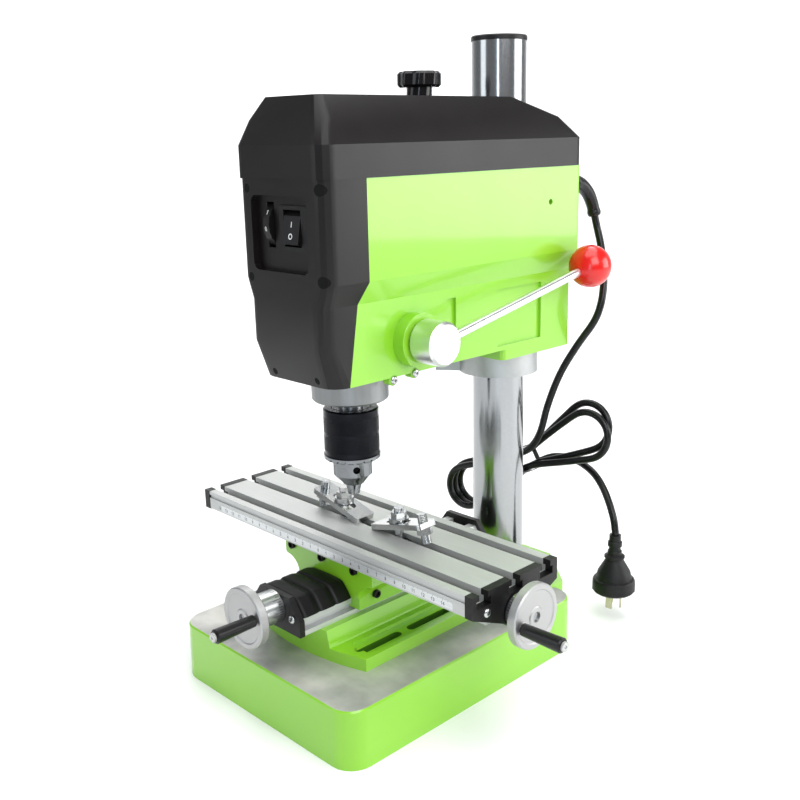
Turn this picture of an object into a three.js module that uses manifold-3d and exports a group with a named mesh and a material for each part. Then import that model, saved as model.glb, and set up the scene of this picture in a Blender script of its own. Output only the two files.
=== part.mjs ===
// A bench milling and drilling machine: a cast base with a round column, a head
// that slides and swings on it, and a cross slide table under the chuck.
// Millimetres, +Z up, the operator stands at -Y, the feed lever is on the +X side.
import * as THREE from 'three';
import Module from 'manifold-3d';
import { mergeVertices } from 'three/addons/utils/BufferGeometryUtils.js';

const wasm = await Module();
wasm.setup();
const { Manifold, Mesh } = wasm;

// Fits
const WELD = 0.001;          // points closer than this are one
const OVERRUN = 2;           // how far a cut runs past a face
const SEAT_GAP = 0.3;        // between pieces that rest on each other
const RUNNING_FIT = 0.08;    // radial, a shaft in its bore
const SLIDE_FIT = 0.35;      // between a slide and its ways
const ROUND = 32;            // sides of a large round form
const SMALL_ROUND = 24;      // sides of a small one
const PIN_ROUND = 16;        // sides of a pin
const FINE_ROUND = 44;       // sides of the column and what runs on it

// Finishes
const finish = {
  green: new THREE.MeshStandardMaterial({ color: 0xa4dc2c, roughness: 0.28 }),
  black: new THREE.MeshStandardMaterial({ color: 0x1b1b1d, roughness: 0.55 }),
  rubber: new THREE.MeshStandardMaterial({ color: 0x151515, roughness: 0.85 }),
  aluminium: new THREE.MeshStandardMaterial({ color: 0xc9cac8, roughness: 0.38, metalness: 1 }),
  cast: new THREE.MeshStandardMaterial({ color: 0xb4b6b6, roughness: 0.55, metalness: 1 }),
  chrome: new THREE.MeshStandardMaterial({ color: 0xdadcde, roughness: 0.12, metalness: 1 }),
  steel: new THREE.MeshStandardMaterial({ color: 0x9a9c9e, roughness: 0.3, metalness: 1 }),
  blued: new THREE.MeshStandardMaterial({ color: 0x222326, roughness: 0.35, metalness: 1 }),
  brass: new THREE.MeshStandardMaterial({ color: 0xb08a48, roughness: 0.4, metalness: 1 }),
  red: new THREE.MeshStandardMaterial({ color: 0xc41c10, roughness: 0.2 }),
  strip: new THREE.MeshStandardMaterial({ color: 0xe4e6e6, roughness: 0.5 }),
};

// Base and column
const base = {
  width: 222, depth: 274, height: 48.3, corner: 20, wall: 8, deck: 10, rib: 8, padDia: 44,
  chamfer: 1.2, draft: 0.8, pocketCorner: 8,
};
const column = {
  dia: 48, wall: 3, y: 157, top: 528, foot: 6, capHeight: 4.5, capOver: 0.5, capPlug: 10, capEdge: 1,
};
const socket = { halfWidth: 86, nose: 40, front: 104, rear: 189, slopeStart: 148, top: 50.5 };
const spindleY = -28;

// Cross slide, from the base up
const plate = {
  halfWidth: 72, corner: -84, bulge: 12, rear: 78, flange: 10.7, raisedHalf: 36, height: 25.5,
  slope: 3, slotWidth: 8, slotLength: 50, slotX: 56, slotFront: -56, slotPitch: 58,
  pocket: 3, pocketIn: 45, pocketOut: 67, pocketFront: -88, pocketEnd: 12, pocketCorner: 4,
};
const rail = {
  half: 30, ledge: 4, neck: 24, hook: 8.5, body: 27, bodyTop: 13, crown: 17.5, height: 25,
  channel: 10, floor: 9, screwHigh: 18, front: -110, rear: 104, cap: 5, capLip: 1, capHigh: 5,
};
const saddle = {
  front: -60, rear: 20, half: 54.8, blockHeight: 15, lowerHalf: 37.5, legLow: 5.5, topGap: 1.6,
  step: 1.5, flare: 14, flareSteps: 6, chamfer: 1.5,
};
const table = {
  length: 317.5, front: -68.7, width: 96.5, thick: 16.4, top: 136.9, x: -155.5, slotMouth: 9.7,
  slotShares: [0.124, 0.493, 0.865], slotNeck: 4.2, slotWide: 15.6, slotDeep: 6.2,
  wayHalf: 26, wayNeck: 22, wayDrop: 14.5, channel: 10, channelRoof: 0.5, screwDrop: 8.5,
  groove: 3.2, grooveDrop: 3, grooveDeep: 1.2, scaleHigh: 7, scaleDrop: 8.2, scaleDeep: 0.8,
  scaleInset: [18, 12],
};
const endCap = { thick: 7, over: 0.4, low: 16, foot: 12.5, bossR: 14, bossOut: 0.8 };
const screw = { dia: 10, journal: 8, nutHalf: 8, nutLong: 24, nutY: -20, nutTop: 7, shoulder: 2 };
const wheel = {
  r: 25, thick: 8, edge: 1, rim: 4, dish: 0.8, hubR: 7, collarR: 13.5, pinX: 17, pinDia: 5,
  handleRoot: 4.75, handleTip: 5.75, handleLong: 36, headR: 3.8, headLong: 1.6, seat: 1.5,
};
const xWheel = { standOff: 26, pin: [-16.7, -3] };
const yWheel = { standOff: 36.5, pin: [16.5, 4.5] };
const boot = {
  wall: 1.6, fold: 3, middle: 8, outline: [[28.5, 15], [18.3, 26.6], [11, 30.2], [0, 31.4]],
  foldShares: [[0, 0], [0.1, 0.9], [0.28, 0.1], [0.46, 1], [0.62, 0.1], [0.8, 1], [1, 0]],
};

// Head, as rings of [height, half width, front, rear, corner radius]
const headRings = [
  [268, 45.5, -82, 207, 16], [298, 45.5, -91, 207, 12], [330, 45.5, -91, 207, 12],
  [347, 51.8, -91, 211, 12], [422, 51.8, -91, 211, 12],
];
const hollowRings = [
  [276, 44, -82, 207, 16], [300, 45.5, -91, 207, 12], [330, 45.5, -91, 207, 12],
  [347, 51.8, -91, 211, 12], [430, 51.8, -91, 211, 12],
];
const head = {
  bottom: 268, top: 422, rearBottom: 258.5, rearBlockFront: 110, rearCorner: 6, wall: 5,
  floor: 276, rearY: 211, deckLow: 398, deckTop: 404, recess: 2.5, panelWall: 4, panelFloor: 274,
  hole: [166, 392, 2.6], housingR: 26, housingTop: 392, columnWall: 9, reach: 60, leastCorner: 1,
};
const splitLine = [[-67, 250], [-67, 269], [-57, 330], [-50, 346], [-50, 430]];
const sideRecess = [[39, 50, 280, 322], [103, 162, 272, 322]];
const bay = { x0: -34, x1: 32, z0: 354, z1: 410, depth: 6, back: 3, lip: 4, corner: 6 };
const rockerSwitch = {
  x0: 0, x1: 20, z0: 373, z1: 400, frame: [-5, 27, 369, 403], lip: 2, wall: 1.5, deep: 17,
  pivot: 1, angle: 10, sideGap: 0.4, pin: 1.2, cutGap: 0.3,
  face: [[-4.5, 12.4], [-2.2, 0], [-4.5, -12.4], [3, -12.8], [5, -8], [5, 8], [3, 12.8]],
};
const dial = {
  x0: -21, x1: -14, z: 388, r: 20, proud: 5.5, axle: 2.5, lug: 3.5, lugHalf: 6, slotHalf: 17,
  slotGap: 0.6, sideGap: 1.5, ribs: 24, ribDeep: 0.5,
};

const coverRings = [
  [422, 53, -92.5, 213.5, 13], [446, 53, -92.5, 213.5, 13], [464, 45, -86, 191, 11],
  [480.5, 32, -77, 140, 6],
];
const cover = { wall: 3, holeGap: 2.5, leastCorner: 2 };
const knob = {
  y: 57.5, stem: 10.4, head: 17.8, stemHigh: 7.5, headHigh: 12.5, lobes: 8, lobeShare: 0.12,
  spigot: 5, spigotLong: 10, edge: 2,
};

// Spindle and its drive
const quill = {
  dia: 40, top: 384, bottom: 244, bore: 14, bearing: 16, edge: 1, collarR: 31.5, collarLow: 245,
  collarEdge: 1.5,
};
const gear = { module: 1.25, teeth: 16, width: 10, gapsBelow: 3, gapsAbove: 9, angle: 20, thin: 0.16 };
const spindle = { dia: 20, shoulder: 390, spline: 12, top: 452, arbor: 8, arborLow: 220 };
const chuck = {
  top: 238, sleeveLow: 198, ringLow: 194.6, bodyLow: 181, coneLow: 172.5, tip: 163.2, sleeveR: 22.8,
  ringR: 23.4, bodyR: 16.2, coneR: 9, jawR: 3.1, jawTilt: 14, jawSpread: 1.9, jawLong: 30, jawGap: 0.15,
  jawSlack: 0.1, open: 14, teeth: 20, toothDeep: 1.2, keyR: 3, keyZ: 187.5, edge: 1, sleeveEdge: 1.2,
};
const feed = {
  y: 0, z: 295.4, shaftR: 11.3, hubR: 17.6, hubFrom: 57.5, hubTo: 82, rodX: 74.5, rodDia: 7.6,
  reach: 198.6, riseAngle: 11.4, ballR: 19.1, bossR: 22, bossTo: 56.5, tailR: 7, tailTo: -53, tailWall: 5,
  spigotR: 8, spigotTo: 66, journalFrom: 12.5, hubEdge: 2, rodSeat: 8, ballSeat: 10, tubeR: 16,
  caseR: 20, caseTo: -57, caseWall: 2.5, caseEdge: 1,
};
const motor = { y: 74, dia: 78, shaft: 4, shaftTop: 440, hole: 13 };
const pulley = {
  z: 421, high: 14, driveR: 16, drivenR: 36, flange: 3, lip: 2.5, belt: 2.4, hubR: 11, hubLow: 406,
  bossR: 15, bossTop: 418, driveHub: 9,
};
const clamp = {
  r: 36.5, low: 236, high: 258.2, earOut: 58, earHalf: 10, slit: 3, boltR: 4, boltHead: 6.5,
  boltLong: 13, boltZ: 247, earAngle: 215,
};

// Work clamps: strap tip x, direction to the heel, x of the upright stud, tops above the table
const strap = {
  y: -21, width: 20, thick: 4.5, long: 58.7, tilt: 14.2, tipLift: 0.4, slot: 8.6, slotFrom: 14,
  slotLong: 26, heel: 54, boltR: 3.9, nutR: 6.6, nutHigh: 5, studBase: 7, washer: 8.2, washerHigh: 1.6,
  corner: 2.5, teeGap: 1,
};
const clampSets = [
  { side: 'left', tip: 5.7, way: -1, stud: -20.8, studOver: 24.5, boltOver: 25.4 },
  { side: 'right', tip: 22.8, way: 1, stud: 46.5, studOver: 23.3, boltOver: 25.4 },
];

// Cord, as points of its centreline
const cord = {
  dia: 7, sides: 8, coilSides: 6, loopSteps: 24, loops: 2.5, lay: 8, centre: [-12, 206, 130],
  lean: [0.853, 0.522], alongWaves: [97.18, 2.09, 1.48, 2.27], acrossWaves: [20.18, 12.87, 1.64, 1.31], tilt: 0.1,
};
const glandPoints = [[40, 211, 406], [40, 223, 404.5], [41, 235, 396], [42, 242, 384], [43, 244.5, 374]];
const gland = { rootR: 8.5, tipR: 5, flange: 2.5, flangeR: 10 };
const dropPoints = [
  [43.1, 244.7, 373.2], [43.9, 246.6, 365.5], [53, 243, 343], [66, 229, 312], [66, 220, 285],
  [50, 214, 258], [33, 210, 228], [20, 206.5, 192], [12.6, 206, 165], [2.2, 206, 148.4],
  [-9.3, 206, 139.8], [-15.6, 206, 136.78],
];
const tailPoints = [
  [-7.7, 226.05, 123.67], [-1.2, 226.8, 128.5], [12, 229, 135], [32, 231, 136.5], [60, 227, 130],
  [82, 217, 116], [96, 210, 100], [101.6, 207.6, 90], [102, 207.5, 82.3],
];
const plug = {
  x: 102, y: 207.5, pinLow: 9, pinWide: 6.3, pinThick: 1.8, pinFrom: 7, pinTurns: [30, 150, 270],
  profile: [[0, 25], [18.5, 25], [20.4, 27], [20.4, 35], [19, 38], [17, 38.5], [15.5, 45], [8.6, 57],
    [8.6, 58.5], [9.8, 59.5], [9.8, 61], [6.8, 62.5], [6.8, 66], [5.6, 67], [5.6, 70], [6.8, 71],
    [6.8, 75], [5.6, 76], [5.6, 82], [0, 82]],
};

// Every solid comes from a three.js geometry.
function solidOf(geometry) {
  const bare = new THREE.BufferGeometry();
  bare.setAttribute('position', geometry.getAttribute('position').clone());
  if (geometry.index) bare.setIndex(geometry.index.clone());
  const welded = mergeVertices(bare, WELD);
  const at = welded.attributes.position.array;
  const source = welded.index.array;
  const kept = [];
  const point = (k) => new THREE.Vector3(at[3 * k], at[3 * k + 1], at[3 * k + 2]);
  let volume = 0;
  for (let i = 0; i < source.length; i += 3) {
    const [a, b, c] = [source[i], source[i + 1], source[i + 2]];
    if (a === b || b === c || a === c) continue;
    kept.push(a, b, c);
    volume += point(a).dot(point(b).cross(point(c)));
  }
  if (volume < 0) kept.reverse();
  return new Manifold(new Mesh({
    numProp: 3, vertProperties: new Float32Array(at), triVerts: new Uint32Array(kept),
  }));
}

function placed(geometry, xAxis, yAxis, zAxis, at = [0, 0, 0]) {
  const turn = new THREE.Matrix4().makeBasis(
    new THREE.Vector3(...xAxis), new THREE.Vector3(...yAxis), new THREE.Vector3(...zAxis));
  turn.setPosition(...at);
  return geometry.applyMatrix4(turn);
}

function pulled(outline, depth) {
  const shape = new THREE.Shape(outline.map(([u, v]) => new THREE.Vector2(u, v)));
  return new THREE.ExtrudeGeometry(shape, { depth, bevelEnabled: false, steps: 1 });
}

// A plan outline pulled up, a (y, z) section pulled along X, an (x, z) section along Y.
const upright = (outline, z0, z1) => solidOf(pulled(outline, z1 - z0).translate(0, 0, z0));
const alongX = (outline, x0, x1) => solidOf(placed(
  pulled(outline, x1 - x0), [0, 1, 0], [0, 0, 1], [1, 0, 0], [x0, 0, 0]));
const alongY = (outline, y0, y1) => solidOf(placed(
  pulled(outline, y1 - y0), [1, 0, 0], [0, 0, 1], [0, -1, 0], [0, y1, 0]));

const rect = (u0, u1, v0, v1) => [[u0, v0], [u1, v0], [u1, v1], [u0, v1]];
const block = (x0, x1, y0, y1, z0, z1) => upright(rect(x0, x1, y0, y1), z0, z1);

const axisFrames = {
  x: [[0, 1, 0], [1, 0, 0], [0, 0, -1]],
  y: [[1, 0, 0], [0, 1, 0], [0, 0, 1]],
  z: [[1, 0, 0], [0, 0, 1], [0, -1, 0]],
};

// A profile of [radius, distance along the axis] turned about X, Y or Z.
function turned(profile, axis, at, sides = ROUND) {
  const points = profile.map(([r, h]) => new THREE.Vector2(r, h));
  return solidOf(placed(new THREE.LatheGeometry(points, sides), ...axisFrames[axis], at));
}

const disc = (radius, from, to) => [[0, from], [radius, from], [radius, to], [0, to]];
const ring = (inner, outer, from, to) =>
  [[inner, from], [outer, from], [outer, to], [inner, to], [inner, from]];
const rod = (radius, from, to, axis, at, sides = SMALL_ROUND) =>
  turned(disc(radius, from, to), axis, at, sides);

// A rectangle with round corners; radii run front left, front right, rear right, rear left.
function rounded(x0, x1, y0, y1, radii, steps = 4) {
  const [fl, fr, rr, rl] = Array.isArray(radii) ? radii : [radii, radii, radii, radii];
  const corners = [
    [x0 + fl, y0 + fl, fl, Math.PI], [x1 - fr, y0 + fr, fr, 1.5 * Math.PI],
    [x1 - rr, y1 - rr, rr, 0], [x0 + rl, y1 - rl, rl, 0.5 * Math.PI],
  ];
  return corners.flatMap(([cx, cy, r, start]) => Array.from({ length: steps + 1 }, (_, i) => {
    const angle = start + (i / steps) * 0.5 * Math.PI;
    return [cx + r * Math.cos(angle), cy + r * Math.sin(angle)];
  }));
}

function obround(cx, cy, width, length, steps = 6) {
  const r = width / 2;
  const reach = length / 2 - r;
  return [1, -1].flatMap((side) => Array.from({ length: steps + 1 }, (_, i) => {
    const angle = (side > 0 ? 0 : Math.PI) + (i / steps) * Math.PI;
    return [cx + r * Math.cos(angle), cy + side * reach + r * Math.sin(angle)];
  }));
}

const polygon = (cx, cy, r, sides, phase = 0) => Array.from({ length: sides }, (_, i) => {
  const angle = phase + (i / sides) * 2 * Math.PI;
  return [cx + r * Math.cos(angle), cy + r * Math.sin(angle)];
});
const level = (outline, z) => outline.map(([x, y]) => new THREE.Vector3(x, y, z));
const mirrored = (half) => [...half, ...half.map(([u, v]) => [-u, v]).reverse()];
const lifted = (outline, z) => outline.map(([u, v]) => [u, v + z]);
const radians = (degrees) => (degrees * Math.PI) / 180;

// A skin over rings of points that match one to one, closed by flat ends.
function lofted(rings) {
  const count = rings[0].length;
  const faces = [];
  for (let k = 0; k + 1 < rings.length; k += 1) {
    for (let i = 0; i < count; i += 1) {
      const a = k * count + i;
      const b = k * count + ((i + 1) % count);
      faces.push(a, b, b + count, a, b + count, a + count);
    }
  }
  const close = (points, first, sameWay) => {
    const [o, p, q] = [0, Math.floor(count / 3), Math.floor((2 * count) / 3)].map((i) => points[i]);
    const u = p.clone().sub(o).normalize();
    const normal = u.clone().cross(q.clone().sub(o)).normalize();
    const v = normal.clone().cross(u);
    const flat = points.map((r) => new THREE.Vector2(r.dot(u), r.dot(v)));
    const turn = Math.sign(THREE.ShapeUtils.area(flat));
    for (const [a, b, c] of THREE.ShapeUtils.triangulateShape(flat, [])) {
      const own = Math.sign(THREE.ShapeUtils.area([flat[a], flat[b], flat[c]]));
      const keep = (own === turn) === sameWay;
      faces.push(first + a, first + (keep ? b : c), first + (keep ? c : b));
    }
  };
  close(rings[0], 0, false);
  close(rings.at(-1), (rings.length - 1) * count, true);
  const geometry = new THREE.BufferGeometry();
  geometry.setAttribute('position', new THREE.Float32BufferAttribute(
    rings.flat().flatMap((p) => [p.x, p.y, p.z]), 3));
  geometry.setIndex(faces);
  return solidOf(geometry);
}

// A round bar whose radius changes along a curve of points.
function tapered(points, r0, r1, sides, steps) {
  const curve = new THREE.CatmullRomCurve3(points.map((p) => new THREE.Vector3(...p)));
  const frames = curve.computeFrenetFrames(steps, false);
  return lofted(Array.from({ length: steps + 1 }, (_, k) => {
    const r = r0 + ((r1 - r0) * k) / steps;
    const at = curve.getPointAt(k / steps);
    return polygon(0, 0, r, sides).map(([u, v]) => at.clone()
      .addScaledVector(frames.normals[k], u).addScaledVector(frames.binormals[k], v));
  }));
}

// A cord of one thickness along hand-chosen points.
function cordAlong(points, sides, steps) {
  const curve = new THREE.CatmullRomCurve3(points.map((p) => new THREE.Vector3(...p)));
  const shape = new THREE.Shape(
    polygon(0, 0, cord.dia / 2, sides).map(([u, v]) => new THREE.Vector2(u, v)));
  return solidOf(new THREE.ExtrudeGeometry(shape, { steps, extrudePath: curve, bevelEnabled: false }));
}

const join = (...parts) => parts.reduce((a, b) => a.add(b));
const cut = (whole, ...tools) => tools.reduce((a, b) => a.subtract(b), whole);

const model = new THREE.Group();
model.name = 'mini_milling_machine';
function add(name, material, solid) {
  const mesh = solid.getMesh();
  const stride = mesh.numProp;
  const positions = new Float32Array((mesh.vertProperties.length / stride) * 3);
  for (let i = 0; i < positions.length / 3; i += 1) {
    for (let k = 0; k < 3; k += 1) positions[3 * i + k] = mesh.vertProperties[i * stride + k];
  }
  const geometry = new THREE.BufferGeometry();
  geometry.setAttribute('position', new THREE.BufferAttribute(positions, 3));
  geometry.setIndex(new THREE.BufferAttribute(new Uint32Array(mesh.triVerts), 1));
  geometry.computeVertexNormals();
  const node = new THREE.Mesh(geometry, material);
  node.name = name;
  model.add(node);
}

// The base: a shell with ribs and a pad below, and the column's socket behind.
const baseX = base.width / 2;
const baseY = base.depth / 2;

function baseCasting() {
  const plan = (inset) => rounded(-baseX + inset, baseX - inset, -baseY + inset, baseY - inset,
    base.corner - inset, 6);
  const shell = lofted([
    level(plan(0), 0), level(plan(base.draft), base.height - base.chamfer),
    level(plan(base.draft + base.chamfer), base.height),
  ]);
  const boss = upright([
    [-socket.halfWidth, socket.front], [socket.halfWidth, socket.front],
    [socket.halfWidth, socket.slopeStart], [socket.nose, socket.rear],
    [-socket.nose, socket.rear], [-socket.halfWidth, socket.slopeStart],
  ], 0, socket.top);
  const under = base.height - base.deck;
  const half = base.rib / 2;
  const inner = baseX - base.wall;
  const pockets = [-1, 1].flatMap((side) => [
    [-baseY + base.wall, -half], [half, socket.front],
  ].map(([y0, y1]) => {
    const [x0, x1] = side > 0 ? [half, inner] : [-inner, -half];
    return upright(rounded(x0, x1, y0, y1, base.pocketCorner, 3), -OVERRUN, under);
  }));
  const pad = rod(base.padDia / 2, 0, under + OVERRUN, 'z', [0, 0, 0]);
  const bore = rod(column.dia / 2 + RUNNING_FIT, column.foot, socket.top + OVERRUN, 'z',
    [0, column.y, 0], FINE_ROUND);
  return cut(join(cut(join(shell, boss), ...pockets), pad), bore);
}

function columnTube() {
  return turned(ring(column.dia / 2 - column.wall, column.dia / 2, column.foot, column.top),
    'z', [0, column.y, 0], FINE_ROUND);
}

function columnCap() {
  const plugR = column.dia / 2 - column.wall - RUNNING_FIT;
  const over = column.dia / 2 + column.capOver;
  const high = column.top + column.capHeight;
  return turned([
    [0, column.top - column.capPlug], [plugR, column.top - column.capPlug], [plugR, column.top],
    [over, column.top], [over, high - column.capEdge], [over - column.capEdge, high], [0, high],
  ], 'z', [0, column.y, 0], FINE_ROUND);
}

// Cross slide: its own base plate and the Y rail on it.
const railZ = base.height + plate.height;
const yScrewZ = railZ + rail.screwHigh;

function plateFront(halfWidth, steps = 12) {
  const radius = (plate.halfWidth ** 2 + plate.bulge ** 2) / (2 * plate.bulge);
  const centre = plate.corner - plate.bulge + radius;
  return Array.from({ length: steps + 1 }, (_, i) => {
    const x = -halfWidth + (2 * halfWidth * i) / steps;
    return [x, centre - Math.sqrt(radius ** 2 - x ** 2)];
  });
}

function slideBase() {
  const flangeTop = base.height + plate.flange;
  const outline = (half) => [...plateFront(half), [half, plate.rear], [-half, plate.rear]];
  const flange = upright(outline(plate.halfWidth), base.height, flangeTop);
  const crown = lofted([
    level(outline(plate.raisedHalf + plate.slope), base.height + plate.flange / 2),
    level(outline(plate.raisedHalf + plate.slope), flangeTop),
    level(outline(plate.raisedHalf), railZ),
  ]);
  const cuts = [-1, 1].flatMap((side) => {
    const [x0, x1] = side > 0 ? [plate.pocketIn, plate.pocketOut] : [-plate.pocketOut, -plate.pocketIn];
    const sunk = rounded(x0, x1, plate.pocketFront + plate.pocketEnd, plate.rear - plate.pocketEnd,
      plate.pocketCorner, 3);
    const slots = [0, 1].map((k) => upright(obround(side * plate.slotX,
      plate.slotFront + k * plate.slotPitch, plate.slotWidth, plate.slotLength),
      base.height - OVERRUN, flangeTop + OVERRUN));
    return [upright(sunk, flangeTop - plate.pocket, flangeTop + OVERRUN), ...slots];
  });
  return cut(join(flange, crown), ...cuts);
}

function yRail() {
  const right = [
    [rail.half, 0], [rail.half, rail.ledge], [rail.neck, rail.ledge], [rail.neck, rail.hook],
    [rail.body, rail.hook], [rail.body, rail.bodyTop], [rail.crown, rail.height],
    [rail.channel, rail.height], [rail.channel, rail.floor],
  ];
  return alongY(lifted(mirrored(right), railZ), rail.front, rail.rear);
}

function yRailCap(y0, y1) {
  const outline = lifted(mirrored([
    [rail.half + rail.capLip, 0], [rail.half + rail.capLip, rail.bodyTop],
    [rail.crown + rail.capLip, rail.height + rail.capHigh],
  ]), railZ);
  const bore = rod(screw.journal / 2 + RUNNING_FIT, y0 - OVERRUN, y1 + OVERRUN, 'y', [0, 0, yScrewZ]);
  return cut(alongY(outline, y0, y1), bore);
}

// Saddle: rides on the Y rail and carries the table on its top ways.
const tableMid = table.front + table.width / 2;
const tableUnder = table.top - table.thick;
const xScrewZ = tableUnder - table.screwDrop;
const wayBottom = tableUnder - table.wayDrop;
const tableEnd = table.x + table.length;

const wayOutline = (grow = 0) => [
  [tableMid - table.wayHalf - grow, wayBottom - grow],
  [tableMid + table.wayHalf + grow, wayBottom - grow],
  [tableMid + table.wayNeck + grow, tableUnder + grow],
  [tableMid - table.wayNeck - grow, tableUnder + grow],
];

function saddleCasting() {
  const blockTop = tableUnder - saddle.topGap;
  const blockLow = blockTop - saddle.blockHeight;
  const reach = saddle.half - saddle.chamfer - saddle.lowerHalf;
  const flare = Array.from({ length: saddle.flareSteps + 1 }, (_, i) => {
    const angle = (i / saddle.flareSteps) * (Math.PI / 2);
    return [saddle.lowerHalf + reach * (1 - Math.cos(angle)),
      blockLow - saddle.flare * (1 - Math.sin(angle))];
  });
  const wide = alongY(mirrored([
    ...flare, [saddle.half, blockLow + saddle.chamfer], [saddle.half, blockTop],
  ]), saddle.front, saddle.rear);
  const body = block(-saddle.lowerHalf, saddle.lowerHalf, saddle.front + saddle.step,
    saddle.rear - saddle.step, railZ + saddle.legLow, blockLow + saddle.chamfer);
  const channel = alongY(lifted(mirrored([
    [rail.neck + SLIDE_FIT, saddle.legLow - OVERRUN], [rail.neck + SLIDE_FIT, rail.hook - SLIDE_FIT],
    [rail.body + SLIDE_FIT, rail.hook - SLIDE_FIT], [rail.body + SLIDE_FIT, rail.bodyTop + SLIDE_FIT],
    [rail.crown + SLIDE_FIT, rail.height + SLIDE_FIT],
  ]), railZ), saddle.front - OVERRUN, saddle.rear + OVERRUN);
  const trough = alongX(wayOutline(SLIDE_FIT), -saddle.half - OVERRUN, saddle.half + OVERRUN);
  return cut(join(wide, body), channel, trough);
}

// The nuts are bolted to the saddle's web: one hangs into the rail, one stands in the table.
const webLow = railZ + rail.height + SLIDE_FIT;
function yNut() {
  const [y0, y1] = [screw.nutY - screw.nutLong / 2, screw.nutY + screw.nutLong / 2];
  const body = block(-screw.nutHalf, screw.nutHalf, y0, y1, yScrewZ - screw.nutHalf, webLow);
  return cut(body, rod(screw.dia / 2 + RUNNING_FIT, y0 - OVERRUN, y1 + OVERRUN, 'y', [0, 0, yScrewZ]));
}
function xNut() {
  const half = screw.nutLong / 2;
  const body = block(-half, half, tableMid - screw.nutHalf, tableMid + screw.nutHalf,
    wayBottom - SLIDE_FIT, xScrewZ + screw.nutTop);
  return cut(body, rod(screw.dia / 2 + RUNNING_FIT, -half - OVERRUN, half + OVERRUN, 'x',
    [0, tableMid, xScrewZ]));
}

// A rubber cover draped over the rail's crown and the Y screw, with its folds across it.
function wayCover() {
  const from = rail.front + SEAT_GAP;
  const to = saddle.front - SEAT_GAP;
  const draped = (grow) => {
    const half = boot.outline.map(([x, z]) => {
      const reach = Math.hypot(x, z - boot.middle);
      return [x + (x * grow) / reach, railZ + z + ((z - boot.middle) * grow) / reach];
    });
    return [...half, ...half.slice(0, -1).reverse().map(([x, z]) => [-x, z])];
  };
  return lofted(boot.foldShares.map(([share, rise]) => {
    const y = from + share * (to - from);
    const grow = rise * boot.fold;
    return [...draped(grow + boot.wall), ...draped(grow).reverse()]
      .map(([x, z]) => new THREE.Vector3(x, y, z));
  }));
}

// Leadscrews and handwheels; `way` is the side on which the wheel sits.
function leadscrew(axis, at, way, wheelEnd, nearCap, farCap, farEnd) {
  const [journal, thread] = [screw.journal / 2, screw.dia / 2];
  const profile = [
    [0, wheelEnd], [journal, wheelEnd], [journal, nearCap], [thread, nearCap],
    [thread, farCap], [journal, farCap], [journal, farEnd], [0, farEnd],
  ];
  return turned(profile.map(([r, h]) => [r, way * h]), axis, at, SMALL_ROUND);
}
function wheelCollar(axis, at, way, from, to) {
  const bore = screw.journal / 2 + RUNNING_FIT;
  const [a, b] = [from, to].map((h) => h * way);
  const edge = way * wheel.edge;
  return turned([[bore, a], [wheel.collarR, a], [wheel.collarR, b - edge],
    [wheel.collarR - wheel.edge, b], [bore, b], [bore, a]], axis, at, SMALL_ROUND);
}
function handwheel(axis, at, way, face, pin) {
  const bore = screw.journal / 2 + RUNNING_FIT;
  const backFace = face - wheel.thick;
  const profile = [
    [bore, backFace], [wheel.r - wheel.edge, backFace], [wheel.r, backFace + wheel.edge],
    [wheel.r, face - wheel.edge], [wheel.r - wheel.edge, face], [wheel.r - wheel.rim, face],
    [wheel.r - wheel.rim - wheel.edge, face - wheel.dish], [wheel.hubR + wheel.edge, face - wheel.dish],
    [wheel.hubR, face], [bore, face], [bore, backFace],
  ].map(([r, h]) => [r, way * h]);
  const end = face + SEAT_GAP + wheel.handleLong;
  const stem = rod(wheel.pinDia / 2, way * (face - wheel.thick / 2), way * end, axis, pin, PIN_ROUND);
  const stop = rod(wheel.headR, way * (end + SEAT_GAP), way * (end + SEAT_GAP + wheel.headLong), axis, pin,
    PIN_ROUND);
  const tip = rod(wheel.pinDia / 2, way * (end - wheel.edge), way * (end + SEAT_GAP + wheel.edge), axis, pin,
    PIN_ROUND);
  return join(turned(profile, axis, at), stem, tip, stop);
}
function wheelHandle(axis, way, face, pin) {
  const [a, b] = [face + SEAT_GAP, face + SEAT_GAP + wheel.handleLong];
  const bore = wheel.pinDia / 2 + RUNNING_FIT;
  const edge = wheel.edge;
  return turned([
    [bore, a], [wheel.handleRoot - edge, a], [wheel.handleRoot, a + edge],
    [wheel.handleTip, b - edge], [wheel.handleTip - edge, b], [bore, b], [bore, a],
  ].map(([r, h]) => [r, way * h]), axis, pin, PIN_ROUND);
}

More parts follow.
